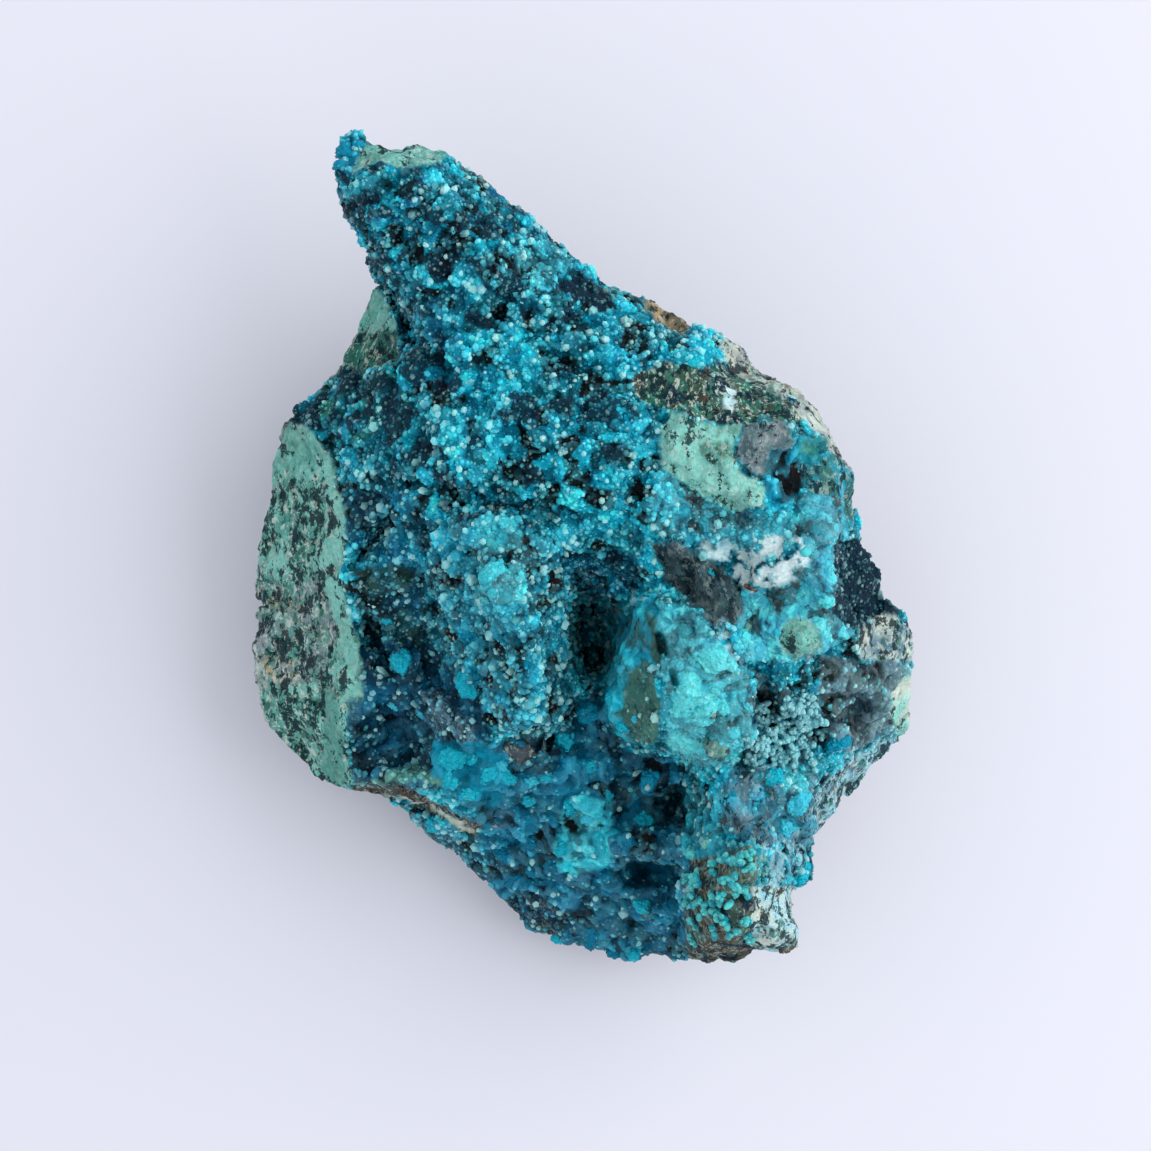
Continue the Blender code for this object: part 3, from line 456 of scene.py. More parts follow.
# Beds of fingers: least and greatest x, least and greatest y in plan mm, how many fingers,
# the knobs and the length in mm of each, and the colours of their roots and ends.
FINGER_BEDS = [
    (17.3, 23.6, -17.8, -13.8, 26, 13, 1.5, "sky", "ice"),
    (17.6, 22.6, -20.8, -17.8, 18, 13, 1.5, "sky", "ice"),
    (15.8, 17.8, -21.6, -18.8, 6, 13, 1.3, "sky", "ice"),
    (10.6, 17.0, -38.6, -29.8, 64, 6, 0.5, "teal", "lit"),
]

# What each finger's colour is multiplied by.
FINGER_TINT = (1.05, 1.08, 0.95)

# The skin's closed parts: each is what is left behind its cutting planes, given by a place and
# the way that the plane faces.
SKIN_PARTS = [
    ("rock_north", [((0, 5.5, 0), (0, -1, 0))]),
    ("rock_south_west", [((0, 5.5, 0), (0, 1, 0)), ((0.5, 0, 0), (1, 0, 0))]),
    ("rock_south_east", [((0, 5.5, 0), (0, 1, 0)), ((0.5, 0, 0), (-1, 0, 0))]),
]


class SpecimenSizes(bpy.types.PropertyGroup):
    """Sizes of the skin and of what grows on it, in millimetres."""

    skin_step: FloatProperty(
        name="Skin step", description="Spacing of the skin's points", default=0.235, min=0.1
    )
    skin_triangles: IntProperty(
        name="Skin triangles", description="Most triangles of the whole skin", default=470000
    )
    clump_size: FloatProperty(
        name="Clump size", description="Width of the druse's clumps", default=2.3, min=0.5
    )
    clump_height: FloatProperty(
        name="Clump height", description="Height of the druse's clumps", default=0.75
    )
    grain_size: FloatProperty(
        name="Grain size", description="Width of the grains in a clump", default=0.8, min=0.3
    )
    grain_height: FloatProperty(
        name="Grain height", description="Height of the grains in a clump", default=0.34
    )
    pocket_depth: FloatProperty(
        name="Pocket depth", description="Depth of the gaps in the druse", default=0.65
    )
    dome_size: FloatProperty(
        name="Dome size", description="Width of the smooth crust's domes", default=2.7, min=0.5
    )
    dome_height: FloatProperty(
        name="Dome height", description="Height of the smooth crust's domes", default=1.0
    )
    wrinkle_height: FloatProperty(
        name="Wrinkle height", description="Height of the glossy crust's wrinkles", default=0.45
    )
    chip_height: FloatProperty(
        name="Chip height", description="Height of the broken rock's chips", default=0.3
    )
    crystal_spacing: FloatProperty(
        name="Crystal spacing", description="Gap between druse crystals", default=0.53, min=0.3
    )
    crystal_size: FloatProperty(
        name="Crystal size", description="Width of a druse crystal", default=0.5, min=0.1
    )
    knob_spacing: FloatProperty(
        name="Knob spacing", description="Gap between small knobs", default=2.2, min=0.4
    )
    knob_size: FloatProperty(
        name="Knob size", description="Width of a small knob", default=1.0, min=0.2
    )


class SpecimenFinish(bpy.types.PropertyGroup):
    """Finish values that a user would change."""

    # Colour of the painted glints on the crust's grains and on a few crystals.
    glint_colour: FloatVectorProperty(
        name="Crystal tip", description="Colour of the crystals' tips", subtype="COLOR", size=3,
        default=COLOURS["frost"], min=0.0, max=1.0,
    )
    # Colour of the painted shade in the crust's gaps between lumps.
    gap_shade_colour: FloatVectorProperty(
        name="Gap colour", description="Colour of the crust in gaps", subtype="COLOR", size=3,
        default=COLOURS["deep"], min=0.0, max=1.0,
    )
    speckle_colour: FloatVectorProperty(
        name="Speckle colour", description="Colour of the dark specks", subtype="COLOR", size=3,
        default=COLOURS["black"], min=0.0, max=1.0,
    )
    window_power: FloatProperty(
        name="Window power", description="Power of the soft window light, in watts", default=3.0
    )
    sky_strength: FloatProperty(
        name="Sky strength", description="Strength of the light all round", default=0.87
    )


def plan_of(points):
    """Plan places in mm of points in metres."""
    spread = (SIGHT_HEIGHT - points[:, 2] / MM) / (SIGHT_HEIGHT - LEVEL)
    return SIGHT_AXIS + (points[:, :2] / MM - SIGHT_AXIS) / spread[:, None]


def to_segment(plan, one_end, other_end):
    """Distance from each plan place to the straight line between two ends."""
    one = np.array(one_end)
    run = np.array(other_end) - one
    share = np.clip((plan - one) @ run / max(run @ run, 1e-9), 0, 1)
    return np.linalg.norm(plan - one - share[:, None] * run, axis=1)


def to_line(plan, line):
    """Distance from each plan place to a line of points."""
    return np.min([to_segment(plan, a, b) for a, b in zip(line, line[1:])], axis=0)


def inside_depth(plan, outline):
    """How far each plan place is inside a closed outline, below nought outside it."""
    corners = np.array(outline)
    inside = np.zeros(len(plan), bool)
    for one, other in zip(corners, np.roll(corners, -1, axis=0)):
        crosses = (one[1] > plan[:, 1]) != (other[1] > plan[:, 1])
        rise = (other[1] - one[1]) or 1e-9
        inside ^= crosses & (
            plan[:, 0] < one[0] + (plan[:, 1] - one[1]) * (other[0] - one[0]) / rise
        )
    away = to_line(plan, list(outline) + [outline[0]])
    return np.where(inside, away, -away)


def smooth_share(values, low, high):
    """0 at low, 1 at high and smooth between; low may be the greater."""
    share = np.clip((values - low) / (high - low), 0, 1)
    return share**2 * (3 - 2 * share)


def blend(one, other, share):
    """One value moved towards another by a share; a colour may be given by its name."""
    one, other = (
        np.array(COLOURS[value]) if isinstance(value, str) else np.asarray(value)
        for value in (one, other)
    )
    return one + (other - one) * share


def scaled(points, size, seed):
    """Points in units of a grain size in mm, shifted by a seed, as a plain list."""
    return (points / (size * MM) + (seed, seed * 1.7, seed * 2.3)).tolist()


def noise_of(points, size, octaves=2, seed=0.0):
    """Smooth noise, about -1 to 1, at points in metres, for a grain size in mm."""
    spots = scaled(points, size, seed)
    return np.array([noise.fractal(spot, 0.9, 2.0, octaves) for spot in spots])


def wander(points, size, amount, seed=0.0):
    """Points in metres shifted by noise: grain size and greatest shift in mm."""
    noise.seed_set(WANDER_SEED)
    shift = np.array([noise.noise_vector(spot) for spot in scaled(points, size, seed)])
    return points + shift * amount * MM


def lumps_of(points, size, seed=0.0):
    """Lumps packed side by side: height 1 on top to 0 in the gaps, and each lump's own share."""
    heights = np.empty(len(points))
    shares = np.empty(len(points))
    for i, spot in enumerate(scaled(points, size, seed)):
        away, middles = noise.voronoi(spot)
        heights[i] = away[0]
        shares[i] = noise.cell(middles[0] * 41.0)
    return np.sqrt(np.clip(1 - (heights / 0.85) ** 2, 0, 1)), shares


def chips_of(points, size, seed=0.0):
    """Flat chips of broken rock: each cell has a face with a tilt and a level of its own."""
    heights = np.empty(len(points))
    for i, spot in enumerate(scaled(points, size, seed)):
        middle = noise.voronoi(spot)[1][0]
        lean = noise.cell_vector(middle * 37.0)
        heights[i] = (Vector(spot) - middle).dot(lean * 2 - Vector((1, 1, 1))) + lean.x - 0.5
    return heights


def only_where(mask, make, points, *rest):
    """Runs a function of points on the masked ones alone, and gives nought for the others."""
    results = make(points[mask], *rest)
    if not isinstance(results, tuple):
        results = (results,)
    filled = []
    for values in results:
        whole = np.zeros(len(points))
        whole[mask] = values
        filled.append(whole)
    return filled if len(filled) > 1 else filled[0]


def ragged_plan(points, amount=0.55):
    """Plan places shifted by noise, so that the edges of patches wander."""
    return plan_of(wander(wander(points, 2.6, amount), 0.7, amount * 0.45))


def lay_patches(points):
    """Tint, shares of speckle, druse, knobs and black crystals, and of wrinkles and brown gaps."""
    plan = ragged_plan(points)
    mix = np.clip(0.5 + 0.9 * noise_of(points, 2.2, 3, seed=5.0), 0, 1)[:, None]
    flecks = smooth_share(noise_of(points, 1.1, 3, seed=70.0), -0.22, -0.02)[:, None]
    tint = blend("teal", "turquoise", mix)
    marks = np.tile((0.0, 1.0, 0.0, 0.03), (len(points), 1))
    traits = np.zeros((len(points), 2))
    for name, outline, pair, shares in PATCHES:
        share = smooth_share(inside_depth(plan, outline), -SOFT_EDGE, SOFT_EDGE)[:, None]
        if name in BROKEN:
            share = share * flecks
        traits = blend(traits, (name in WRINKLED, name in EARTHY), share)
        tint = blend(tint, blend(*pair, mix), share)
        marks = blend(marks, shares, share)
    ragged = noise_of(points, 1.4, 3, seed=80.0) * 1.3
    for x, y, half_width, half_height in BLACK_SPOTS:
        away = np.hypot((plan[:, 0] - x) / half_width, (plan[:, 1] - y) / half_height) + ragged
        share = smooth_share(away, 1.15, 0.75)
        marks[:, 3] = np.maximum(marks[:, 3], share * (marks[:, 1] > 0.5))
    for line, half_width, key in VEINS:
        past = to_line(plan, line) - half_width
        share = smooth_share(past, SOFT_EDGE, -SOFT_EDGE)[:, None]
        tint = blend(tint, key, share)
        marks[:, 0] *= 1 - 0.8 * share[:, 0]
    return tint, marks, traits.T


def evaluated_mesh(thing):
    """A copy of the mesh that an object's modifiers give."""
    graph = bpy.context.evaluated_depsgraph_get()
    return bpy.data.meshes.new_from_object(thing.evaluated_get(graph))


def with_modifiers(mesh, *steps, group=None):
    """The mesh after a row of modifiers, each a kind and its settings."""
    thing = bpy.data.objects.new("in_work", mesh)
    bpy.context.scene.collection.objects.link(thing)
    if group is not None:
        thing.vertex_groups.new(name="share")
        layer = bmesh.new()
        layer.from_mesh(mesh)
        weights = layer.verts.layers.deform.verify()
        for vert, weight in zip(layer.verts, group):
            vert[weights][0] = float(weight)
        layer.to_mesh(mesh)
        layer.free()
    for kind, settings in steps:
        modifier = thing.modifiers.new(kind, kind)
        for setting, value in settings.items():
            setattr(modifier, setting, value)
    result = evaluated_mesh(thing)
    bpy.data.objects.remove(thing)
    return result


def points_of(mesh):
    """The points of a mesh, one row each."""
    points = np.empty(len(mesh.vertices) * 3)
    mesh.vertices.foreach_get("co", points)
    return points.reshape(-1, 3)


def normals_of(mesh):
    normals = np.empty(len(mesh.vertices) * 3)
    mesh.vertices.foreach_get("normal", normals)
    return normals.reshape(-1, 3)


def triangles_of(mesh):
    mesh.calc_loop_triangles()
    triangles = np.empty(len(mesh.loop_triangles) * 3, np.int32)
    mesh.loop_triangles.foreach_get("vertices", triangles)
    return triangles.reshape(-1, 3)


def spread_out(mesh, values, rounds):
    """Values averaged with their neighbours', a number of rounds."""
    ends = np.empty(len(mesh.edges) * 2, np.int32)
    mesh.edges.foreach_get("vertices", ends)
    one, other = ends.reshape(-1, 2).T
    count = np.bincount(ends, minlength=len(values)) + 1
    for _ in range(rounds):
        total = values + np.bincount(one, values[other], len(values))
        total += np.bincount(other, values[one], len(values))
        values = total / count
    return values


def hidden_share(mesh):
    """1 where the skin can't be seen from straight above, 0 where it can, with a soft edge."""
    points = points_of(mesh)
    tree = bvhtree.BVHTree.FromPolygons(points.tolist(), triangles_of(mesh).tolist())
    eye = Vector((*(SIGHT_AXIS * MM), SIGHT_HEIGHT * MM))
    hidden = np.empty(len(points))
    for i, point in enumerate(points):
        start = Vector(point)
        way = (eye - start).normalized()
        hidden[i] = tree.ray_cast(start + way * 0.4 * MM, way)[0] is not None
    return spread_out(mesh, hidden, 5)


def fine_copy(node, step):
    """An even, closed copy of the solid's mesh, with its flat faces smoothed away."""
    shape = bmesh.new()
    shape.from_mesh(node.data)
    bmesh.ops.remove_doubles(shape, verts=shape.verts[:], dist=1e-6)
    mesh = bpy.data.meshes.new("plain_copy")
    shape.to_mesh(mesh)
    shape.free()
    return with_modifiers(
        mesh,
        ("REMESH", {"mode": "VOXEL", "voxel_size": step * MM}),
        ("SMOOTH", {"factor": 0.5, "iterations": 24}),
    )


def skin_relief(points, marks, wrinkles, hidden, sizes):
    """How far in mm the skin stands out, the share of the way up a lump, and the lump's shade."""
    _, druse, knobs, _ = marks.T
    open_side = 1 - hidden
    rock = np.clip(1 - druse - knobs, 0, 1) * open_side + hidden
    druse, knobs = druse * open_side, knobs * open_side
    bent = wander(wander(points, 2.2, 0.9, seed=50.0), 0.7, 0.25, seed=51.0)

    where = druse > 0.02
    clump, body = only_where(where, lumps_of, bent, sizes.clump_size, 3.0)
    grain, own = only_where(where, lumps_of, bent, sizes.grain_size, 7.0)
    pockets = smooth_share(only_where(where, noise_of, points, 2.2, 2, 9.0), 0.22, 0.55)
    grain = grain * (0.35 + 0.65 * own)
    rise = druse * (clump - 0.6) * sizes.clump_height * (0.6 + 0.8 * body)
    rise += druse * (grain * sizes.grain_height - sizes.pocket_depth * pockets)
    crest = druse * np.clip(0.5 * clump + 0.7 * grain - 0.4 * pockets, 0, 1)
    shade = 1 + druse * ((body - 0.5) * 0.6 + (own - 0.5) * 0.3)

    where = knobs > 0.02
    dome, body = only_where(where, lumps_of, bent, sizes.dome_size, 13.0)
    bead, own = only_where(where, lumps_of, bent, sizes.dome_size * 0.42, 17.0)
    dimple = only_where(where, noise_of, points, 1.6, 3, 19.0)
    rise += knobs * (dome - 0.6) * sizes.dome_height * (0.4 + 1.1 * body) * (1 - 0.5 * wrinkles)
    rise += knobs * (bead * (0.3 + 0.7 * own) * 0.34 + dimple * 0.3) * sizes.dome_height
    crest += knobs * np.clip(0.6 * dome + 0.5 * bead * (0.4 + 0.6 * own) + 0.3 * dimple, 0, 1)
    shade += knobs * ((body - 0.5) * 0.45 + (own - 0.5) * 0.3)

    where = wrinkles * open_side > 0.02
    folds = 1 - 3.2 * np.abs(only_where(where, noise_of, bent, 1.3, 3, 23.0))
    folds = wrinkles * open_side * np.clip(folds, 0, 1)
    rise += folds * sizes.wrinkle_height
    crest += 0.55 * folds + 0.1 * wrinkles * open_side

    where = rock > 0.02
    chips = only_where(where, chips_of, bent, 3.2) + 0.5 * only_where(
        where, chips_of, bent, 1.3, 4.0
    )
    rise += rock * (chips * sizes.chip_height + 0.14 * only_where(where, noise_of, points, 0.8))
    crest += rock * np.clip(0.62 + 0.25 * chips, 0, 1)
    return rise, np.clip(crest, 0, 1), shade


def with_painted_shade_and_highlight(tint, gaps, marks, crest, most):
    """The crusts' tint with painted shade in the gaps between lumps and a painted highlight on top
    of them.
    """
    crust = np.clip(marks[:, 1] + marks[:, 2], 0, 1)
    gaps = np.minimum(gaps, tint * 0.9)
    lumpy = np.clip(marks[:, 2] / (crust + 1e-6), 0, 1)
    # Painted shade: the tint moves towards the gap colour where the crest is low.
    low = smooth_share(crest, 0.4, 0.0) * (1 - lumpy) + smooth_share(crest, 0.27, 0.07) * lumpy
    low = (crust * low * (most + 0.35 * lumpy))[:, None]
    # Painted highlight: the tint is lightened where the crest is high.
    high = (crust * smooth_share(crest, 0.4, 1.0) * 0.65 * (1 - 0.8 * marks[:, 3]))[:, None]
    tint = blend(tint, gaps, low)
    return tint + (tint * (0.6, 0.6, 0.4) + (0.08, 0.12, 0.12)) * high


def under_tint(points):
    """Tint of the broken sides and underside: grey and brown rock with green and dark seams."""
    coarse = noise_of(points, 9.0, 3, seed=12.0)[:, None]
    middle = noise_of(points, 3.5, 3, seed=21.0)[:, None]
    green = noise_of(points * (1, 1, 2.2), 7.0, 3, seed=33.0)[:, None]
    tint = blend("grey", "brown", smooth_share(coarse, -0.3, 0.4))
    tint = blend(tint, "cream", smooth_share(middle, 0.1, 0.5) * 0.6)
    return blend(tint, "sage", smooth_share(green, 0.12, 0.42) * 0.8)


def store(mesh, name, kind, values):
    """Adds a point attribute to a mesh."""
    attribute = mesh.attributes.new(name, kind, "POINT")
    if kind == "FLOAT_COLOR":
        if values.shape[1] == 3:
            values = np.column_stack([values, np.ones(len(values))])
        attribute.data.foreach_set("color", np.clip(values, 0, 1).astype(np.float32).ravel())
    else:
        attribute.data.foreach_set("value", values.astype(np.float32))


def stored(mesh, name, width=1):
    """A point attribute's values: one number a point, or a row of them."""
    key = "color" if width > 1 else "value"
    values = np.empty(len(mesh.vertices) * width, np.float32)
    mesh.attributes[name].data.foreach_get(key, values)
    return values.reshape(-1, width) if width > 1 else values


def add_piece(name, mesh, material):
    """Links a finished piece and makes it ride on the rock."""
    mesh.name = name
    mesh.materials.clear()
    mesh.materials.append(material)
    piece = bpy.data.objects.new(name, mesh)
    bpy.context.scene.collection.objects.link(piece)
    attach(piece, BODY)
    return piece


# Shader node groups and materials


def make_group(name, inputs, outputs):
    """An empty shader node group with named sockets: inputs are name, kind and default."""
    group = bpy.data.node_groups.new(name, "ShaderNodeTree")
    for label, kind, default in inputs:
        socket = group.interface.new_socket(label, in_out="INPUT", socket_type=kind)
        if default is not None:
            socket.default_value = default
    for label, kind in outputs:
        group.interface.new_socket(label, in_out="OUTPUT", socket_type=kind)
    entry = group.nodes.new("NodeGroupInput")
    leave = group.nodes.new("NodeGroupOutput")
    return group, entry, leave


def noise_node(tree, size, detail=3.0, roughness=0.6, seed=0.0, stretch=1.0):
    """A noise texture on Object coordinates for a grain size in mm."""
    where = tree.nodes.new("ShaderNodeTexCoord")
    place = tree.nodes.new("ShaderNodeMapping")
    place.inputs["Location"].default_value = (seed, seed * 1.3, seed * 0.7)
    place.inputs["Rotation"].default_value = (0.0, 0.0, STREAK_TURN if stretch > 1 else 0.0)
    place.inputs["Scale"].default_value = (1.0, 1 / stretch, 1.0)
    texture = tree.nodes.new("ShaderNodeTexNoise")
    texture.inputs["Scale"].default_value = 1 / (size * MM)
    texture.inputs["Detail"].default_value = detail
    texture.inputs["Roughness"].default_value = roughness
    tree.links.new(where.outputs["Object"], place.inputs["Vector"])
    tree.links.new(place.outputs["Vector"], texture.inputs["Vector"])
    return texture.outputs["Fac"]


def ramp_node(tree, value, low, high):
    """A value mapped smoothly from low..high to 0..1."""
    ramp = tree.nodes.new("ShaderNodeMapRange")
    ramp.interpolation_type = "SMOOTHSTEP"
    ramp.inputs["From Min"].default_value = low
    ramp.inputs["From Max"].default_value = high
    tree.links.new(value, ramp.inputs["Value"])
    return ramp.outputs["Result"]


def math_node(tree, operation, one, other):
    """The result of an operation on two values, each a socket or a constant."""
    node = tree.nodes.new("ShaderNodeMath")
    node.operation = operation
    for socket, value in zip(node.inputs, (one, other)):
        if isinstance(value, (int, float)):
            socket.default_value = value
        else:
            tree.links.new(value, socket)
    return node.outputs["Value"]


def times(tree, first, *others):
    """The product of sockets and constants."""
    for other in others:
        first = math_node(tree, "MULTIPLY", first, other)
    return first


def mix_node(tree, share, one, other, kind="MIX"):
    """A colour mix; each of share, one and other is a socket or a constant."""
    node = tree.nodes.new("ShaderNodeMix")
    node.data_type = "RGBA"
    node.blend_type = kind
    sockets = (node.inputs[0], node.inputs[6], node.inputs[7])
    for socket, value in zip(sockets, (share, one, other)):
        if isinstance(value, (int, float)):
            socket.default_value = value
        elif isinstance(value, tuple):
            socket.default_value = (*value, 1.0)
        else:
            tree.links.new(value, socket)
    return node.outputs[2]


def attribute_node(tree, name, output="Color"):
    """One of the values that the pieces' points carry."""
    node = tree.nodes.new("ShaderNodeAttribute")
    node.attribute_name = name
    return node.outputs[output]


def specks_group():
    """Ragged specks of a second colour and pale flecks, as dense as the share says."""
    group, entry, leave = make_group(
        "ragged_specks",
        [
            ("Color", "NodeSocketColor", None),
            ("Speck Color", "NodeSocketColor", None),
            ("Fleck Color", "NodeSocketColor", None),
            ("Stain Color", "NodeSocketColor", None),
            ("Share", "NodeSocketFloat", 0.5),
        ],
        [("Color", "NodeSocketColor")],
    )
    share = entry.outputs["Share"]
    gate = ramp_node(group, share, 0.02, 0.2)
    flecks = ramp_node(group, noise_node(group, 0.6, 3.0, 0.65, seed=30.0, stretch=1.8), 0.53, 0.58)
    flecks = times(group, flecks, share, 0.8)
    flecked = mix_node(group, flecks, entry.outputs["Color"], entry.outputs["Fleck Color"])
    stains = ramp_node(group, noise_node(group, 0.9, 2.0, 0.6, seed=41.0, stretch=2.0), 0.54, 0.64)
    stained = mix_node(group, times(group, share, stains), flecked, entry.outputs["Stain Color"])
    grains = math_node(
        group, "ADD", noise_node(group, 1.5, 2.0, 0.5, seed=3.0, stretch=1.6),
        noise_node(group, 0.42, 4.0, 0.75, stretch=1.5),
    )
    raised = math_node(group, "ADD", grains, times(group, share, 0.13))
    mask = times(group, ramp_node(group, raised, 1.12, 1.2), gate)
    mixed = mix_node(group, times(group, mask, 0.9), stained, entry.outputs["Speck Color"])
    group.links.new(mixed, leave.inputs["Color"])
    return group


def mottle_group():
    """Slow and fine changes of brightness in one finish."""
    group, entry, leave = make_group(
        "mottle",
        [("Color", "NodeSocketColor", None), ("Amount", "NodeSocketFloat", 0.5)],
        [("Color", "NodeSocketColor")],
    )
    fine = ramp_node(group, noise_node(group, 0.35, 2.0, 0.6, seed=1.0), 0.35, 0.68)
    slow = ramp_node(group, noise_node(group, 2.8, 3.0, 0.6, seed=8.0), 0.3, 0.7)
    amount = entry.outputs["Amount"]
    dark = times(group, math_node(group, "SUBTRACT", 1.0, fine), 0.36, amount)
    light = times(group, slow, 0.25, amount)
    darkened = mix_node(group, dark, entry.outputs["Color"], (0.0, 0.02, 0.03))
    lifted = mix_node(group, light, darkened, (0.5, 1.0, 1.0), kind="OVERLAY")
    group.links.new(lifted, leave.inputs["Color"])
    return group


def grains_group():
    """Sugar-like grains side by side: 1 on a grain's top to 0 round it, and the few that glint."""
    group, entry, leave = make_group(
        "sugar_grains",
        [("Size", "NodeSocketFloat", 0.45)],
        [("Top", "NodeSocketFloat"), ("Glint", "NodeSocketFloat")],
    )
    where = group.nodes.new("ShaderNodeTexCoord")
    cells = group.nodes.new("ShaderNodeTexVoronoi")
    group.links.new(where.outputs["Object"], cells.inputs["Vector"])
    scale = math_node(group, "DIVIDE", 1 / MM, entry.outputs["Size"])
    group.links.new(scale, cells.inputs["Scale"])
    own = group.nodes.new("ShaderNodeSeparateColor")
    group.links.new(cells.outputs["Color"], own.inputs["Color"])
    top = ramp_node(group, cells.outputs["Distance"], 0.62, 0.12)
    few = ramp_node(group, own.outputs["Red"], 0.84, 0.9)
    middle = ramp_node(group, cells.outputs["Distance"], 0.55, 0.2)
    group.links.new(top, leave.inputs["Top"])
    group.links.new(times(group, few, middle), leave.inputs["Glint"])
    return group


def place_group(tree, group, **values):
    """A node group in a material, with a socket or a constant for each input."""
    node = tree.nodes.new("ShaderNodeGroup")
    node.node_tree = group
    for label, value in values.items():
        socket = node.inputs[label.replace("_", " ")]
        if isinstance(value, (int, float)):
            socket.default_value = value
        elif isinstance(value, tuple):
            socket.default_value = (*value, 1.0)
        else:
            tree.links.new(value, socket)
    return node


def new_material(name, **values):
    """A material, its node tree and its shader, with the shader's constants set."""
    material = bpy.data.materials.new(name)
    material.use_nodes = True
    shader = material.node_tree.nodes["Principled BSDF"]
    for label, value in values.items():
        shader.inputs[label.replace("_", " ")].default_value = value
    return material, material.node_tree, shader


def bump_node(tree, height, distance):
    """Fine relief of a height in mm."""
    bump = tree.nodes.new("ShaderNodeBump")
    bump.inputs["Distance"].default_value = distance * MM
    bump.inputs["Strength"].default_value = 1.0
    tree.links.new(height, bump.inputs["Height"])
    return bump.outputs["Normal"]


def skin_material(finish, specks, mottle, grains):
    """Rock and crust: tinted by the laid patches, with painted shade between lumps and between
    grains and painted glints on the grains, specked, mottled.
    """
    material, tree, shader = new_material(
        "rock_and_crust", Coat_Roughness=0.1, Specular_IOR_Level=0.1
    )
    tint = attribute_node(tree, "tint")
    parts = tree.nodes.new("ShaderNodeSeparateColor")
    tree.links.new(attribute_node(tree, "marks"), parts.inputs["Color"])
    speckle, druse, knobs = (parts.outputs[key] for key in ("Red", "Green", "Blue"))
    crest = attribute_node(tree, "crest", "Fac")
    wrinkles = attribute_node(tree, "wrinkles", "Fac")
    crust = math_node(tree, "ADD", druse, knobs)
    grain = place_group(tree, grains, Size=0.45)
    # Painted shade in the grooves between the sugar grains.
    away = math_node(tree, "SUBTRACT", 1.0, grain.outputs["Top"])
    grained = math_node(tree, "ADD", druse, times(tree, wrinkles, 0.7))
    away = times(tree, away, grained, 0.5)
    groove_shade = mix_node(tree, 1.0, tint, (0.3, 0.5, 0.58), kind="MULTIPLY")
    groove_shaded = mix_node(tree, away, tint, groove_shade)
    # Painted glints on the tops of the grains, in the glint colour.
    high = ramp_node(tree, crest, 0.05, 0.6)
    glint = times(tree, grain.outputs["Glint"], high, grained, 0.5)
    glinting = mix_node(tree, glint, groove_shaded, tuple(finish.glint_colour))
    specked = place_group(
        tree, specks, Color=glinting, Speck_Color=tuple(finish.speckle_colour),
        Fleck_Color=COLOURS["cream"], Stain_Color=COLOURS["stain"], Share=speckle,
    )
    mottled = place_group(tree, mottle, Color=specked.outputs["Color"], Amount=0.6)
    tree.links.new(mottled.outputs["Color"], shader.inputs["Base Color"])
    fine = noise_node(tree, 0.28, 3.0, 0.65, seed=6.0)
    coarse = times(tree, grain.outputs["Top"], grained)
    height = math_node(tree, "ADD", fine, coarse)
    tree.links.new(bump_node(tree, height, 0.2), shader.inputs["Normal"])
    smoothness = times(tree, crust, -0.35)
    tree.links.new(math_node(tree, "ADD", smoothness, 0.78), shader.inputs["Roughness"])
    tree.links.new(times(tree, wrinkles, 0.55), shader.inputs["Coat Weight"])
    return material


def crystal_material(mottle):
    """Druse: each crystal has its own tint, painted shade at its root and a painted highlight at
    its tip.
    """
    material, tree, shader = new_material(
        "druse_crystal", Roughness=0.3, Specular_IOR_Level=0.2
    )
    tint = attribute_node(tree, "tint")
    reach = attribute_node(tree, "reach", "Fac")
    # Painted shade low on each crystal and a painted highlight at its tip.
    root = mix_node(tree, 1.0, tint, (0.4, 0.62, 0.7), kind="MULTIPLY")
    body = mix_node(tree, ramp_node(tree, reach, 0.3, 0.75), root, tint)
    tip = times(tree, ramp_node(tree, reach, 0.6, 1.0), 0.22)
    tip_highlighted = mix_node(tree, tip, body, COLOURS["lit"])
    mottled = place_group(tree, mottle, Color=tip_highlighted, Amount=0.5)
    tree.links.new(mottled.outputs["Color"], shader.inputs["Base Color"])
    tree.links.new(
        bump_node(tree, noise_node(tree, 0.12, 2.0, 0.5), 0.03), shader.inputs["Normal"]
    )
    return material


def knob_material(mottle, grains):
    """Rounded crust: satin, with painted shade low down and in the grooves between tiny grains,
    painted glints higher up, a few yellow-green.
    """
    material, tree, shader = new_material(
        "smooth_crust", Roughness=0.42, Specular_IOR_Level=0.15
    )
    tint = attribute_node(tree, "tint")
    reach = attribute_node(tree, "reach", "Fac")
    # Painted shade low on each knob, ball and finger, and in the grooves between grains.
    root = mix_node(tree, 1.0, tint, (0.3, 0.5, 0.6), kind="MULTIPLY")
    body = mix_node(tree, ramp_node(tree, reach, 0.1, 0.7), root, tint)
    grain = place_group(tree, grains, Size=0.4)
    away = math_node(tree, "SUBTRACT", 1.0, grain.outputs["Top"])
    body = mix_node(tree, times(tree, away, 0.45), body, root)
    # Painted glints on the grains higher up.
    glint = times(tree, grain.outputs["Glint"], ramp_node(tree, reach, 0.4, 0.9), 0.4)
    body = mix_node(tree, glint, body, COLOURS["lit"])
    yellow = ramp_node(tree, noise_node(tree, 0.4, 1.0, 0.4, seed=14.0), 0.72, 0.77)
    flecked = mix_node(tree, times(tree, yellow, 0.6), body, COLOURS["yellow-green"])
    mottled = place_group(tree, mottle, Color=flecked, Amount=0.6)
    tree.links.new(mottled.outputs["Color"], shader.inputs["Base Color"])
    height = math_node(tree, "ADD", noise_node(tree, 0.3, 3.0, 0.6), grain.outputs["Top"])
    tree.links.new(bump_node(tree, height, 0.12), shader.inputs["Normal"])
    return material


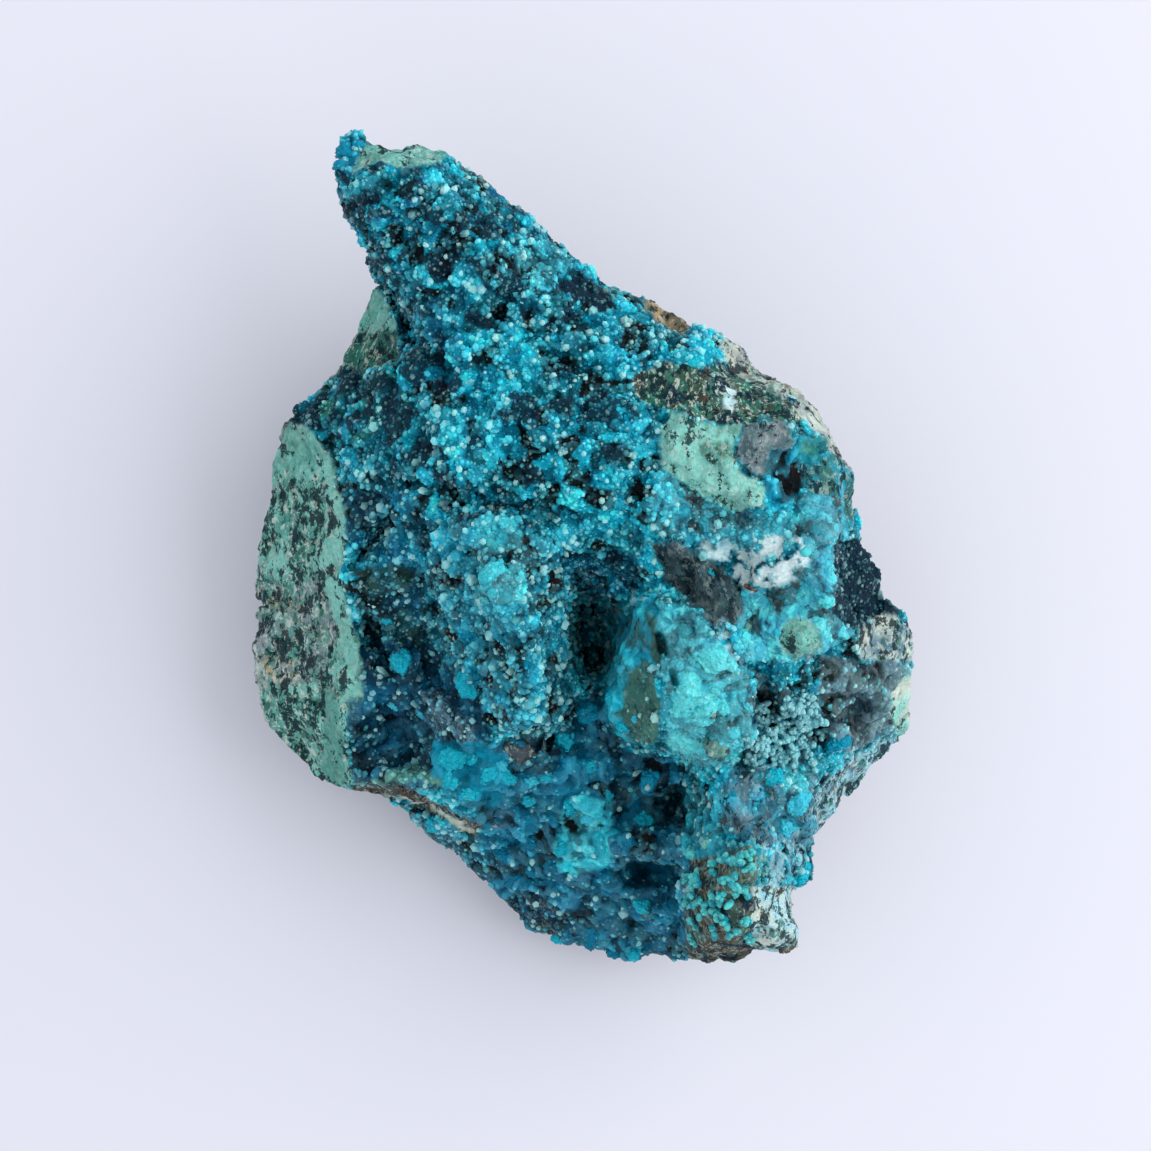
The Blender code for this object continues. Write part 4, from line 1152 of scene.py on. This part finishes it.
def stone_material(finish, specks, mottle):
    """Bare pebbles and chips: matt stone with painted shade low down, dark specks and fine streaks.
    """
    material, tree, shader = new_material("bare_stone", Roughness=0.6)
    tint = attribute_node(tree, "tint")
    reach = attribute_node(tree, "reach", "Fac")
    # Painted shade on the lower part of each pebble.
    dark = mix_node(tree, 1.0, tint, (0.2, 0.22, 0.24), kind="MULTIPLY")
    body = mix_node(tree, ramp_node(tree, reach, 0.35, 0.75), dark, tint)
    specked = place_group(
        tree, specks, Color=body, Speck_Color=tuple(finish.speckle_colour),
        Fleck_Color=COLOURS["cream"], Stain_Color=COLOURS["brown"], Share=0.45,
    )
    mottled = place_group(tree, mottle, Color=specked.outputs["Color"], Amount=0.8)
    tree.links.new(mottled.outputs["Color"], shader.inputs["Base Color"])
    tree.links.new(
        bump_node(tree, noise_node(tree, 0.25, 3.0, 0.6), 0.12), shader.inputs["Normal"]
    )
    return material


# Shapes that are repeated


def template_points(shape):
    """Points, triangles and heights 0 to 1 of a small shape that copies are made from."""
    bmesh.ops.triangulate(shape, faces=shape.faces[:])
    shape.verts.index_update()
    points = np.array([vert.co for vert in shape.verts])
    triangles = np.array([[vert.index for vert in face.verts] for face in shape.faces])
    shape.free()
    low, high = points[:, 2].min(), points[:, 2].max()
    return points, triangles, (points[:, 2] - low) / (high - low)


def crystal_shape(sides=6, waist=0.5, shoulder=0.44):
    """A short closed crystal, one unit wide and high, with flat sides and a blunt point."""
    shape = bmesh.new()
    bmesh.ops.create_cone(
        shape, cap_ends=True, segments=sides, radius1=waist, radius2=shoulder, depth=0.7
    )
    top = max(shape.faces, key=lambda face: face.calc_center_median().z)
    tip = bmesh.ops.poke(shape, faces=[top])["verts"]
    bmesh.ops.translate(shape, verts=tip, vec=(0.06, 0.03, 0.3))
    return template_points(shape)


def grain_shape():
    """A blunt sugar-like grain, one unit wide, with twenty flat faces."""
    shape = bmesh.new()
    bmesh.ops.create_icosphere(shape, subdivisions=1, radius=0.5)
    return template_points(shape)


def knob_shape():
    """A round knob, one unit wide."""
    shape = bmesh.new()
    bmesh.ops.create_uvsphere(shape, u_segments=8, v_segments=5, radius=0.5)
    return template_points(shape)


def spin_frames(normals, random, lean):
    """A turn for each copy: its own up way leans at random about the normal."""
    up = normals + random.normal(0, lean, normals.shape)
    up /= np.linalg.norm(up, axis=1)[:, None]
    side = np.cross(up, random.normal(size=up.shape))
    side /= np.linalg.norm(side, axis=1)[:, None]
    return np.stack([side, np.cross(up, side), up], axis=2)


def joined_copies(template, places, turns, sizes, tints):
    """One mesh of turned and sized copies of a template, each with its tint."""
    shape, triangles, reach = template
    count = len(places)
    points = np.einsum("nij,ntj->nti", turns, shape[None] * sizes[:, None]) + places[:, None]
    faces = triangles[None] + (np.arange(count) * len(shape))[:, None, None]
    mesh = bpy.data.meshes.new("copies")
    mesh.from_pydata(points.reshape(-1, 3), [], faces.reshape(-1, 3))
    store(mesh, "tint", "FLOAT_COLOR", np.repeat(tints, len(shape), axis=0))
    store(mesh, "reach", "FLOAT", np.tile(reach, count))
    return mesh


class SkinSamples:
    """Places spread over the skin, with the skin's own values there."""

    def __init__(self, share, spacing, random):
        mesh = bpy.data.meshes[SKIN]
        points = points_of(mesh)
        triangles = triangles_of(mesh)
        corners = points[triangles]
        area = np.linalg.norm(
            np.cross(corners[:, 1] - corners[:, 0], corners[:, 2] - corners[:, 0]), axis=1
        ) / 2
        weight = area * share[triangles].mean(axis=1)
        step = spacing * MM
        count = int(weight.sum() / step**2 * 2.2)
        pick = random.choice(len(area), count, p=weight / weight.sum())
        a, b = random.random((2, count))
        over = a + b > 1
        a[over], b[over] = 1 - a[over], 1 - b[over]
        parts = np.column_stack([1 - a - b, a, b])
        places = np.einsum("nk,nkj->nj", parts, corners[pick])
        cells = np.floor(places / step).astype(np.int64)
        _, first = np.unique(cells @ (1, 100003, 10000019), return_index=True)
        keep = np.sort(first)
        self.corners = triangles[pick][keep]
        self.parts = parts[keep]
        self.places = places[keep]
        normals = self.at(normals_of(mesh))
        self.normals = normals / np.linalg.norm(normals, axis=1)[:, None]

    def at(self, values):
        """Skin values at the places."""
        if values.ndim == 1:
            return (values[self.corners] * self.parts).sum(axis=1)
        return np.einsum("nk,nkj->nj", self.parts, values[self.corners])


def shade_flat(mesh):
    mesh.shade_flat()
    return mesh


def shade_smooth(mesh):
    mesh.shade_smooth()
    return mesh


class SPECIMEN_OT_skin(bpy.types.Operator):
    """Makes the fine skin of the rock and its crusts over the solid"""

    bl_idname = "specimen.skin"
    bl_label = "Rock skin"

    def execute(self, context):
        sizes = context.scene.specimen_sizes
        mesh = fine_copy(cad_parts[ROCK], sizes.skin_step)
        points = points_of(mesh)
        hidden = hidden_share(mesh)
        tint, marks, (wrinkles, earthy) = lay_patches(points)
        rise, crest, shade = skin_relief(points, marks, wrinkles, hidden, sizes)
        tint = tint * shade[:, None]
        rise *= smooth_share(points[:, 2] / MM, 0.0, 1.2)
        raised = points + normals_of(mesh) * (rise * MM)[:, None]
        plan = ragged_plan(raised, 0.3)
        for one_end, other_end, half_width, depth in HOLES:
            away = to_segment(plan, one_end, other_end) / half_width
            raised[:, 2] -= depth * MM * np.exp(-(away**4)) * (1 - hidden)
        raised[:, 2] = np.maximum(raised[:, 2], 0)
        store(mesh, "wrinkles", "FLOAT", wrinkles * (1 - hidden))
        # Painted shade in the gaps between lumps: the gap colour, or on earthy patches the brown
        # rock's own colour at half brightness.
        brown = np.array(COLOURS["brown"]) * 0.5
        gaps = blend(context.scene.specimen_finish.gap_shade_colour, brown, earthy[:, None])
        tint = with_painted_shade_and_highlight(tint, gaps, marks, crest, 0.55 + 0.4 * earthy)
        self.colour(mesh, points, tint, marks, crest, smooth_share(hidden, 0.25, 0.6))
        mesh.vertices.foreach_set("co", raised.ravel())
        self.split(self.thinned(mesh, hidden, sizes), context.scene.specimen_finish)
        return {"FINISHED"}

    def colour(self, mesh, points, tint, marks, crest, under):
        """Stores the tint, the marks and the crest of each point."""
        under = under[:, None]
        black = noise_of(points, 2.2, 2, seed=60.0) + (marks[:, 3] - 0.5) * 1.5
        black = (smooth_share(black, -0.05, 0.2) * (marks[:, 3] > 0.01))[:, None]
        dark = np.array(COLOURS["black"]) + np.array(COLOURS["navy"]) * 0.3
        tint = blend(tint, dark, black * 0.9)
        tint = blend(tint, under_tint(points), under)
        # Painted shade under the crust's overhang: the undercut rock turns dark deep blue higher
        # up.
        height = points[:, 2:] / MM + 6.0 * noise_of(points, 5.0, 3, seed=90.0)[:, None]
        overhang_shade = smooth_share(height, OVERHANG_SHADE_START, OVERHANG_SHADE_FULL) * under
        tint = blend(tint, np.array(COLOURS["deep"]) * 0.5, overhang_shade)
        marks = blend(marks, (0.3, 0.0, 0.0, 0.0), under)
        marks[:, 3] = black[:, 0] * (1 - under[:, 0])
        store(mesh, "tint", "FLOAT_COLOR", tint)
        store(mesh, "marks", "FLOAT_COLOR", marks)
        store(mesh, "crest", "FLOAT", crest)

    def thinned(self, mesh, hidden, sizes):
        """The mesh with fewer triangles where it can't be seen from above."""
        total = sum(len(face.vertices) - 2 for face in mesh.polygons)
        ratio = min(1.0, sizes.skin_triangles / total)
        weights = smooth_share(hidden, 0.5, 0.95)
        step = ("DECIMATE", {"ratio": ratio, "vertex_group": "share"})
        thin = with_modifiers(mesh, step, group=weights)
        thin.name = SKIN
        return thin

    def split(self, whole, finish):
        """Cuts the skin into closed parts that meet face to face."""
        material = skin_material(finish, specks_group(), mottle_group(), grains_group())
        for name, cuts in SKIN_PARTS:
            shape = bmesh.new()
            shape.from_mesh(whole)
            for place, facing in cuts:
                everything = shape.verts[:] + shape.edges[:] + shape.faces[:]
                cut = bmesh.ops.bisect_plane(
                    shape, geom=everything, plane_co=Vector(place) * MM, plane_no=facing,
                    clear_outer=True,
                )["geom_cut"]
                rim = [part for part in cut if isinstance(part, bmesh.types.BMEdge)]
                for edge in rim:
                    edge.smooth = False
                bmesh.ops.triangle_fill(shape, edges=rim, use_beauty=True, normal=facing)
            mesh = bpy.data.meshes.new(name)
            shape.to_mesh(mesh)
            shape.free()
            piece = add_piece(name, shade_smooth(mesh), material)
            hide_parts(ROCK)


class SPECIMEN_OT_druse(bpy.types.Operator):
    """Grows the druse crystals over the plateau, horn and mound"""

    bl_idname = "specimen.druse"
    bl_label = "Druse crystals"

    def execute(self, context):
        sizes = context.scene.specimen_sizes
        finish = context.scene.specimen_finish
        skin = bpy.data.meshes[SKIN]
        marks = stored(skin, "marks", 4)
        crest = stored(skin, "crest")
        material = crystal_material(bpy.data.node_groups["mottle"])
        random = np.random.default_rng(CRYSTAL_SEED)
        share = marks[:, 1] * (0.15 + 0.85 * crest)
        samples = SkinSamples(share, sizes.crystal_spacing, random)
        tint = samples.at(stored(skin, "tint", 4)[:, :3])
        height = samples.at(crest)
        count = len(samples.places)
        lift = np.clip(height * 0.8 + random.normal(0.1, 0.2, count), 0, 1)
        black = samples.at(marks[:, 3])
        # Painted highlight: crystals high on the clumps are lightened towards the lit colour.
        bright = smooth_share(lift, 0.4, 1.0) * 0.5 * (1 - black)
        colour = blend(tint * 1.12, "lit", bright[:, None])
        colour *= random.uniform(0.8, 1.3, (count, 1))
        # Painted glints on a few crystals, more of them high on the clumps.
        glint = (random.random(count) < 0.06 + 0.16 * height) * random.uniform(0.3, 0.8, count)
        glint *= 1 - 0.6 * black
        colour = blend(colour, finish.glint_colour, glint[:, None])
        width = sizes.crystal_size * MM * np.exp(random.normal(0, 0.25, count))
        width *= (0.75 + 0.5 * height) * (1 + 0.35 * (glint > 0))
        scale = width[:, None] * random.uniform((0.75, 0.65, 0.8), (1.0, 0.95, 1.35), (count, 3))
        sunk = scale[:, 2] * random.uniform(0.05, 0.4, count)
        places = samples.places - samples.normals * sunk[:, None]
        turns = spin_frames(samples.normals, random, 0.5)
        is_grain = random.random(count) < GRAIN_SHARE
        for name, shape, chosen in (
            ("druse_points", crystal_shape(), ~is_grain),
            ("druse_grains", grain_shape(), is_grain),
        ):
            chosen = np.flatnonzero(chosen)
            most = MOST_PIECE_TRIANGLES // len(shape[1])
            for part, start in enumerate(range(0, len(chosen), most)):
                pick = chosen[start:start + most]
                mesh = joined_copies(shape, places[pick], turns[pick], scale[pick], colour[pick])
                add_piece(f"{name}_{part + 1}", shade_flat(mesh), material)
        return {"FINISHED"}


class SPECIMEN_OT_knobs(bpy.types.Operator):
    """Grows the small rounded knobs of the smooth crusts"""

    bl_idname = "specimen.knobs"
    bl_label = "Small knobs"

    def execute(self, context):
        sizes = context.scene.specimen_sizes
        skin = bpy.data.meshes[SKIN]
        marks = stored(skin, "marks", 4)
        crest = stored(skin, "crest")
        groups = bpy.data.node_groups
        material = knob_material(groups["mottle"], groups["sugar_grains"])
        random = np.random.default_rng(KNOB_SEED)
        samples = SkinSamples(marks[:, 2] * crest, sizes.knob_spacing, random)
        count = len(samples.places)
        tint = samples.at(stored(skin, "tint", 4)[:, :3])
        lift = random.random(count)
        colour = tint * (0.75 + 0.35 * lift)[:, None]
        colour = blend(colour, "lit", (smooth_share(lift, 0.7, 1.0) * 0.2)[:, None])
        width = sizes.knob_size * MM * np.exp(random.normal(-0.1, 0.34, count))
        scale = np.column_stack([width, width * random.uniform(0.85, 1.1, count), width * 0.85])
        turns = spin_frames(samples.normals, random, 0.25)
        places = samples.places - samples.normals * (width * 0.3)[:, None]
        mesh = joined_copies(knob_shape(), places, turns, scale, colour)
        add_piece("crust_knobs", shade_smooth(mesh), material)
        return {"FINISHED"}


def on_skin(x, y, tree):
    """Where the line of sight through a plan place meets the skin, and the way the skin faces.

    A place just past the edge moves in until it meets the skin.
    """
    eye = Vector((*(SIGHT_AXIS * MM), SIGHT_HEIGHT * MM))
    aim = Vector((x * MM, y * MM, LEVEL * MM))
    inward = Vector((-x, -y, 0)).normalized() * EDGE_STEP * MM
    for _ in range(MOST_EDGE_STEPS):
        place, normal, _, _ = tree.ray_cast(eye, (aim - eye).normalized())
        if place is not None:
            return place, normal
        aim += inward
    raise ValueError(f"no skin at {x}, {y}")


def skin_tree():
    skin = bpy.data.meshes[SKIN]
    return bvhtree.BVHTree.FromPolygons(points_of(skin).tolist(), triangles_of(skin).tolist())


class SPECIMEN_OT_nodules(bpy.types.Operator):
    """Sets the larger balls, lobes and pebbles that sit on the crusts one by one"""

    bl_idname = "specimen.nodules"
    bl_label = "Balls and lobes"

    def execute(self, context):
        finish = context.scene.specimen_finish
        mottle = bpy.data.node_groups["mottle"]
        specks = bpy.data.node_groups["ragged_specks"]
        smooth = bpy.data.materials["smooth_crust"]
        stone = stone_material(finish, specks, mottle)
        self.tree = skin_tree()
        for name, nodules, material in (
            ("crust_balls", BALLS, smooth), ("pebbles", PEBBLES, stone)
        ):
            shape = bmesh.new()
            tints = []
            for nodule in nodules:
                tints += self.add(shape, *nodule)
            mesh = bpy.data.meshes.new(name)
            bmesh.ops.recalc_face_normals(shape, faces=shape.faces[:])
            shape.to_mesh(mesh)
            shape.free()
            tints = np.array(tints)
            store(mesh, "tint", "FLOAT_COLOR", tints[:, :3])
            store(mesh, "reach", "FLOAT", tints[:, 3])
            add_piece(name, shade_smooth(mesh), material)
        return {"FINISHED"}

    def add(self, shape, x, y, half_width, half_length, turn, sunk, key):
        """Adds one noise-worn ball; gives the tint and reach of each of its points."""
        place, normal = on_skin(x, y, self.tree)
        up = (normal + Vector((0, 0, 1.2))).normalized()
        across = Vector((np.cos(np.radians(turn)), np.sin(np.radians(turn)), 0))
        side = (across - up * across.dot(up)).normalized()
        frame_turn = Matrix((side, up.cross(side), up)).transposed()
        ball = bmesh.ops.create_icosphere(shape, subdivisions=4, radius=1.0)["verts"]
        sizes = Vector((half_width, half_length, min(half_width, half_length) * 0.9)) * MM
        colour = np.array(COLOURS[key]) * BALL_SHADE
        rows = []
        for vert in ball:
            bulge = noise.fractal(vert.co * 1.3 + Vector((x, y, 0)), 0.8, 2.0, 3) * 0.3
            grain = noise.voronoi(vert.co * 3.8 + Vector((y, x, 0)))[0][0]
            reach = (vert.co.z + 1) / 2
            vert.co = vert.co * (1 + bulge - 0.35 * grain)
            vert.co = frame_turn @ Vector(a * b for a, b in zip(vert.co, sizes))
            vert.co += place - up * sizes.z * (sunk + BALL_SINK)
            rows.append((*colour, reach))
        return rows


class SPECIMEN_OT_fingers(bpy.types.Operator):
    """Grows the pale fingers east of the knob and the short green ones on the pillar's top"""

    bl_idname = "specimen.fingers"
    bl_label = "Pale fingers"

    def execute(self, context):
        random = np.random.default_rng(FINGER_SEED)
        tree = skin_tree()
        places, ways, tints = [], [], []
        for x0, x1, y0, y1, count, knobs, length, low, high in FINGER_BEDS:
            for x, y in random.uniform((x0, y0), (x1, y1), (count, 2)):
                place, normal = on_skin(x, y, tree)
                root = (normal + Vector((0, 0, 0.8))).normalized()
                for reach in random.random(knobs):
                    way = (root + Vector(random.normal(0, 0.4, 3))).normalized()
                    places.append(place + way * reach * length * MM)
                    ways.append(way)
                    shade = smooth_share(reach + random.normal(0, 0.1), 0.05, 0.8)
                    tint = blend(low, high, shade) * FINGER_TINT
                    tints.append(tint * random.uniform(0.85, 1.2))
        count = len(places)
        width = random.uniform(0.4, 0.75, count) * MM
        scale = np.column_stack([width, width, width * random.uniform(1.2, 2.1, count)])
        turns = spin_frames(np.array(ways), random, 0.4)
        mesh = joined_copies(knob_shape(), np.array(places), turns, scale, np.array(tints))
        add_piece("pale_fingers", shade_smooth(mesh), bpy.data.materials["smooth_crust"])
        return {"FINISHED"}


class SPECIMEN_OT_stage(bpy.types.Operator):
    """Makes the plain pale floor, the soft lights and the camera straight above"""

    bl_idname = "specimen.stage"
    bl_label = "Stage"

    def execute(self, context):
        scene = context.scene
        finish = scene.specimen_finish
        self.floor(scene)
        self.light(scene, "window", WINDOW_PLACE, WINDOW_SIZE, finish.window_power)
        world = bpy.data.worlds.new("pale_room")
        world.use_nodes = True
        background = world.node_tree.nodes["Background"]
        background.inputs["Color"].default_value = SKY_COLOUR
        background.inputs["Strength"].default_value = finish.sky_strength
        scene.world = world
        scene.view_settings.view_transform = "Standard"
        self.camera(scene)
        return {"FINISHED"}

    def floor(self, scene):
        shape = bmesh.new()
        bmesh.ops.create_grid(shape, x_segments=1, y_segments=1, size=FLOOR_SIZE)
        mesh = bpy.data.meshes.new("floor")
        shape.to_mesh(mesh)
        shape.free()
        material, tree, shader = new_material("pale_floor", Roughness=0.9)
        faint = mix_node(tree, noise_node(tree, 40.0, 2.0, 0.5), *FLOOR_COLOURS)
        tree.links.new(faint, shader.inputs["Base Color"])
        mesh.materials.append(material)
        floor = bpy.data.objects.new("floor", mesh)
        scene.collection.objects.link(floor)

    def light(self, scene, name, place, size, power):
        data = bpy.data.lights.new(name, "AREA")
        data.size = size
        data.energy = power
        lamp = bpy.data.objects.new(name, data)
        lamp.location = place
        aim = Vector((0, 0, LEVEL * MM)) - lamp.location
        lamp.rotation_euler = aim.to_track_quat("-Z", "Y").to_euler()
        scene.collection.objects.link(lamp)

    def camera(self, scene):
        data = bpy.data.cameras.new("above")
        data.sensor_width = SENSOR_WIDTH
        data.lens = SENSOR_WIDTH * (SIGHT_HEIGHT - LEVEL) / VIEW_WIDTH
        camera = bpy.data.objects.new("above", data)
        camera.location = (*(SIGHT_AXIS * MM), SIGHT_HEIGHT * MM)
        scene.collection.objects.link(camera)
        scene.camera = camera


STEPS = (
    SPECIMEN_OT_skin, SPECIMEN_OT_druse, SPECIMEN_OT_knobs, SPECIMEN_OT_nodules,
    SPECIMEN_OT_fingers, SPECIMEN_OT_stage,
)


class SPECIMEN_PT_panel(bpy.types.Panel):
    """Lists the steps that build the specimen"""

    bl_idname = "SPECIMEN_PT_panel"
    bl_label = "Chrysocolla specimen"
    bl_space_type = "VIEW_3D"
    bl_region_type = "UI"
    bl_category = "Specimen"

    def draw(self, context):
        layout = self.layout
        for group in (context.scene.specimen_sizes, context.scene.specimen_finish):
            for name in type(group).__annotations__:
                layout.prop(group, name)
        for step in STEPS:
            layout.operator(step.bl_idname)


CLASSES = (SpecimenSizes, SpecimenFinish, *STEPS, SPECIMEN_PT_panel)


def register():
    for item in CLASSES:
        bpy.utils.register_class(item)
    bpy.types.Scene.specimen_sizes = PointerProperty(type=SpecimenSizes)
    bpy.types.Scene.specimen_finish = PointerProperty(type=SpecimenFinish)


def unregister():
    del bpy.types.Scene.specimen_finish
    del bpy.types.Scene.specimen_sizes
    for item in reversed(CLASSES):
        bpy.utils.unregister_class(item)


def main():
    register()
    bpy.ops.specimen.skin()
    bpy.ops.specimen.druse()
    bpy.ops.specimen.knobs()
    bpy.ops.specimen.nodules()
    bpy.ops.specimen.fingers()
    bpy.ops.specimen.stage()


if __name__ == "__main__":
    main()
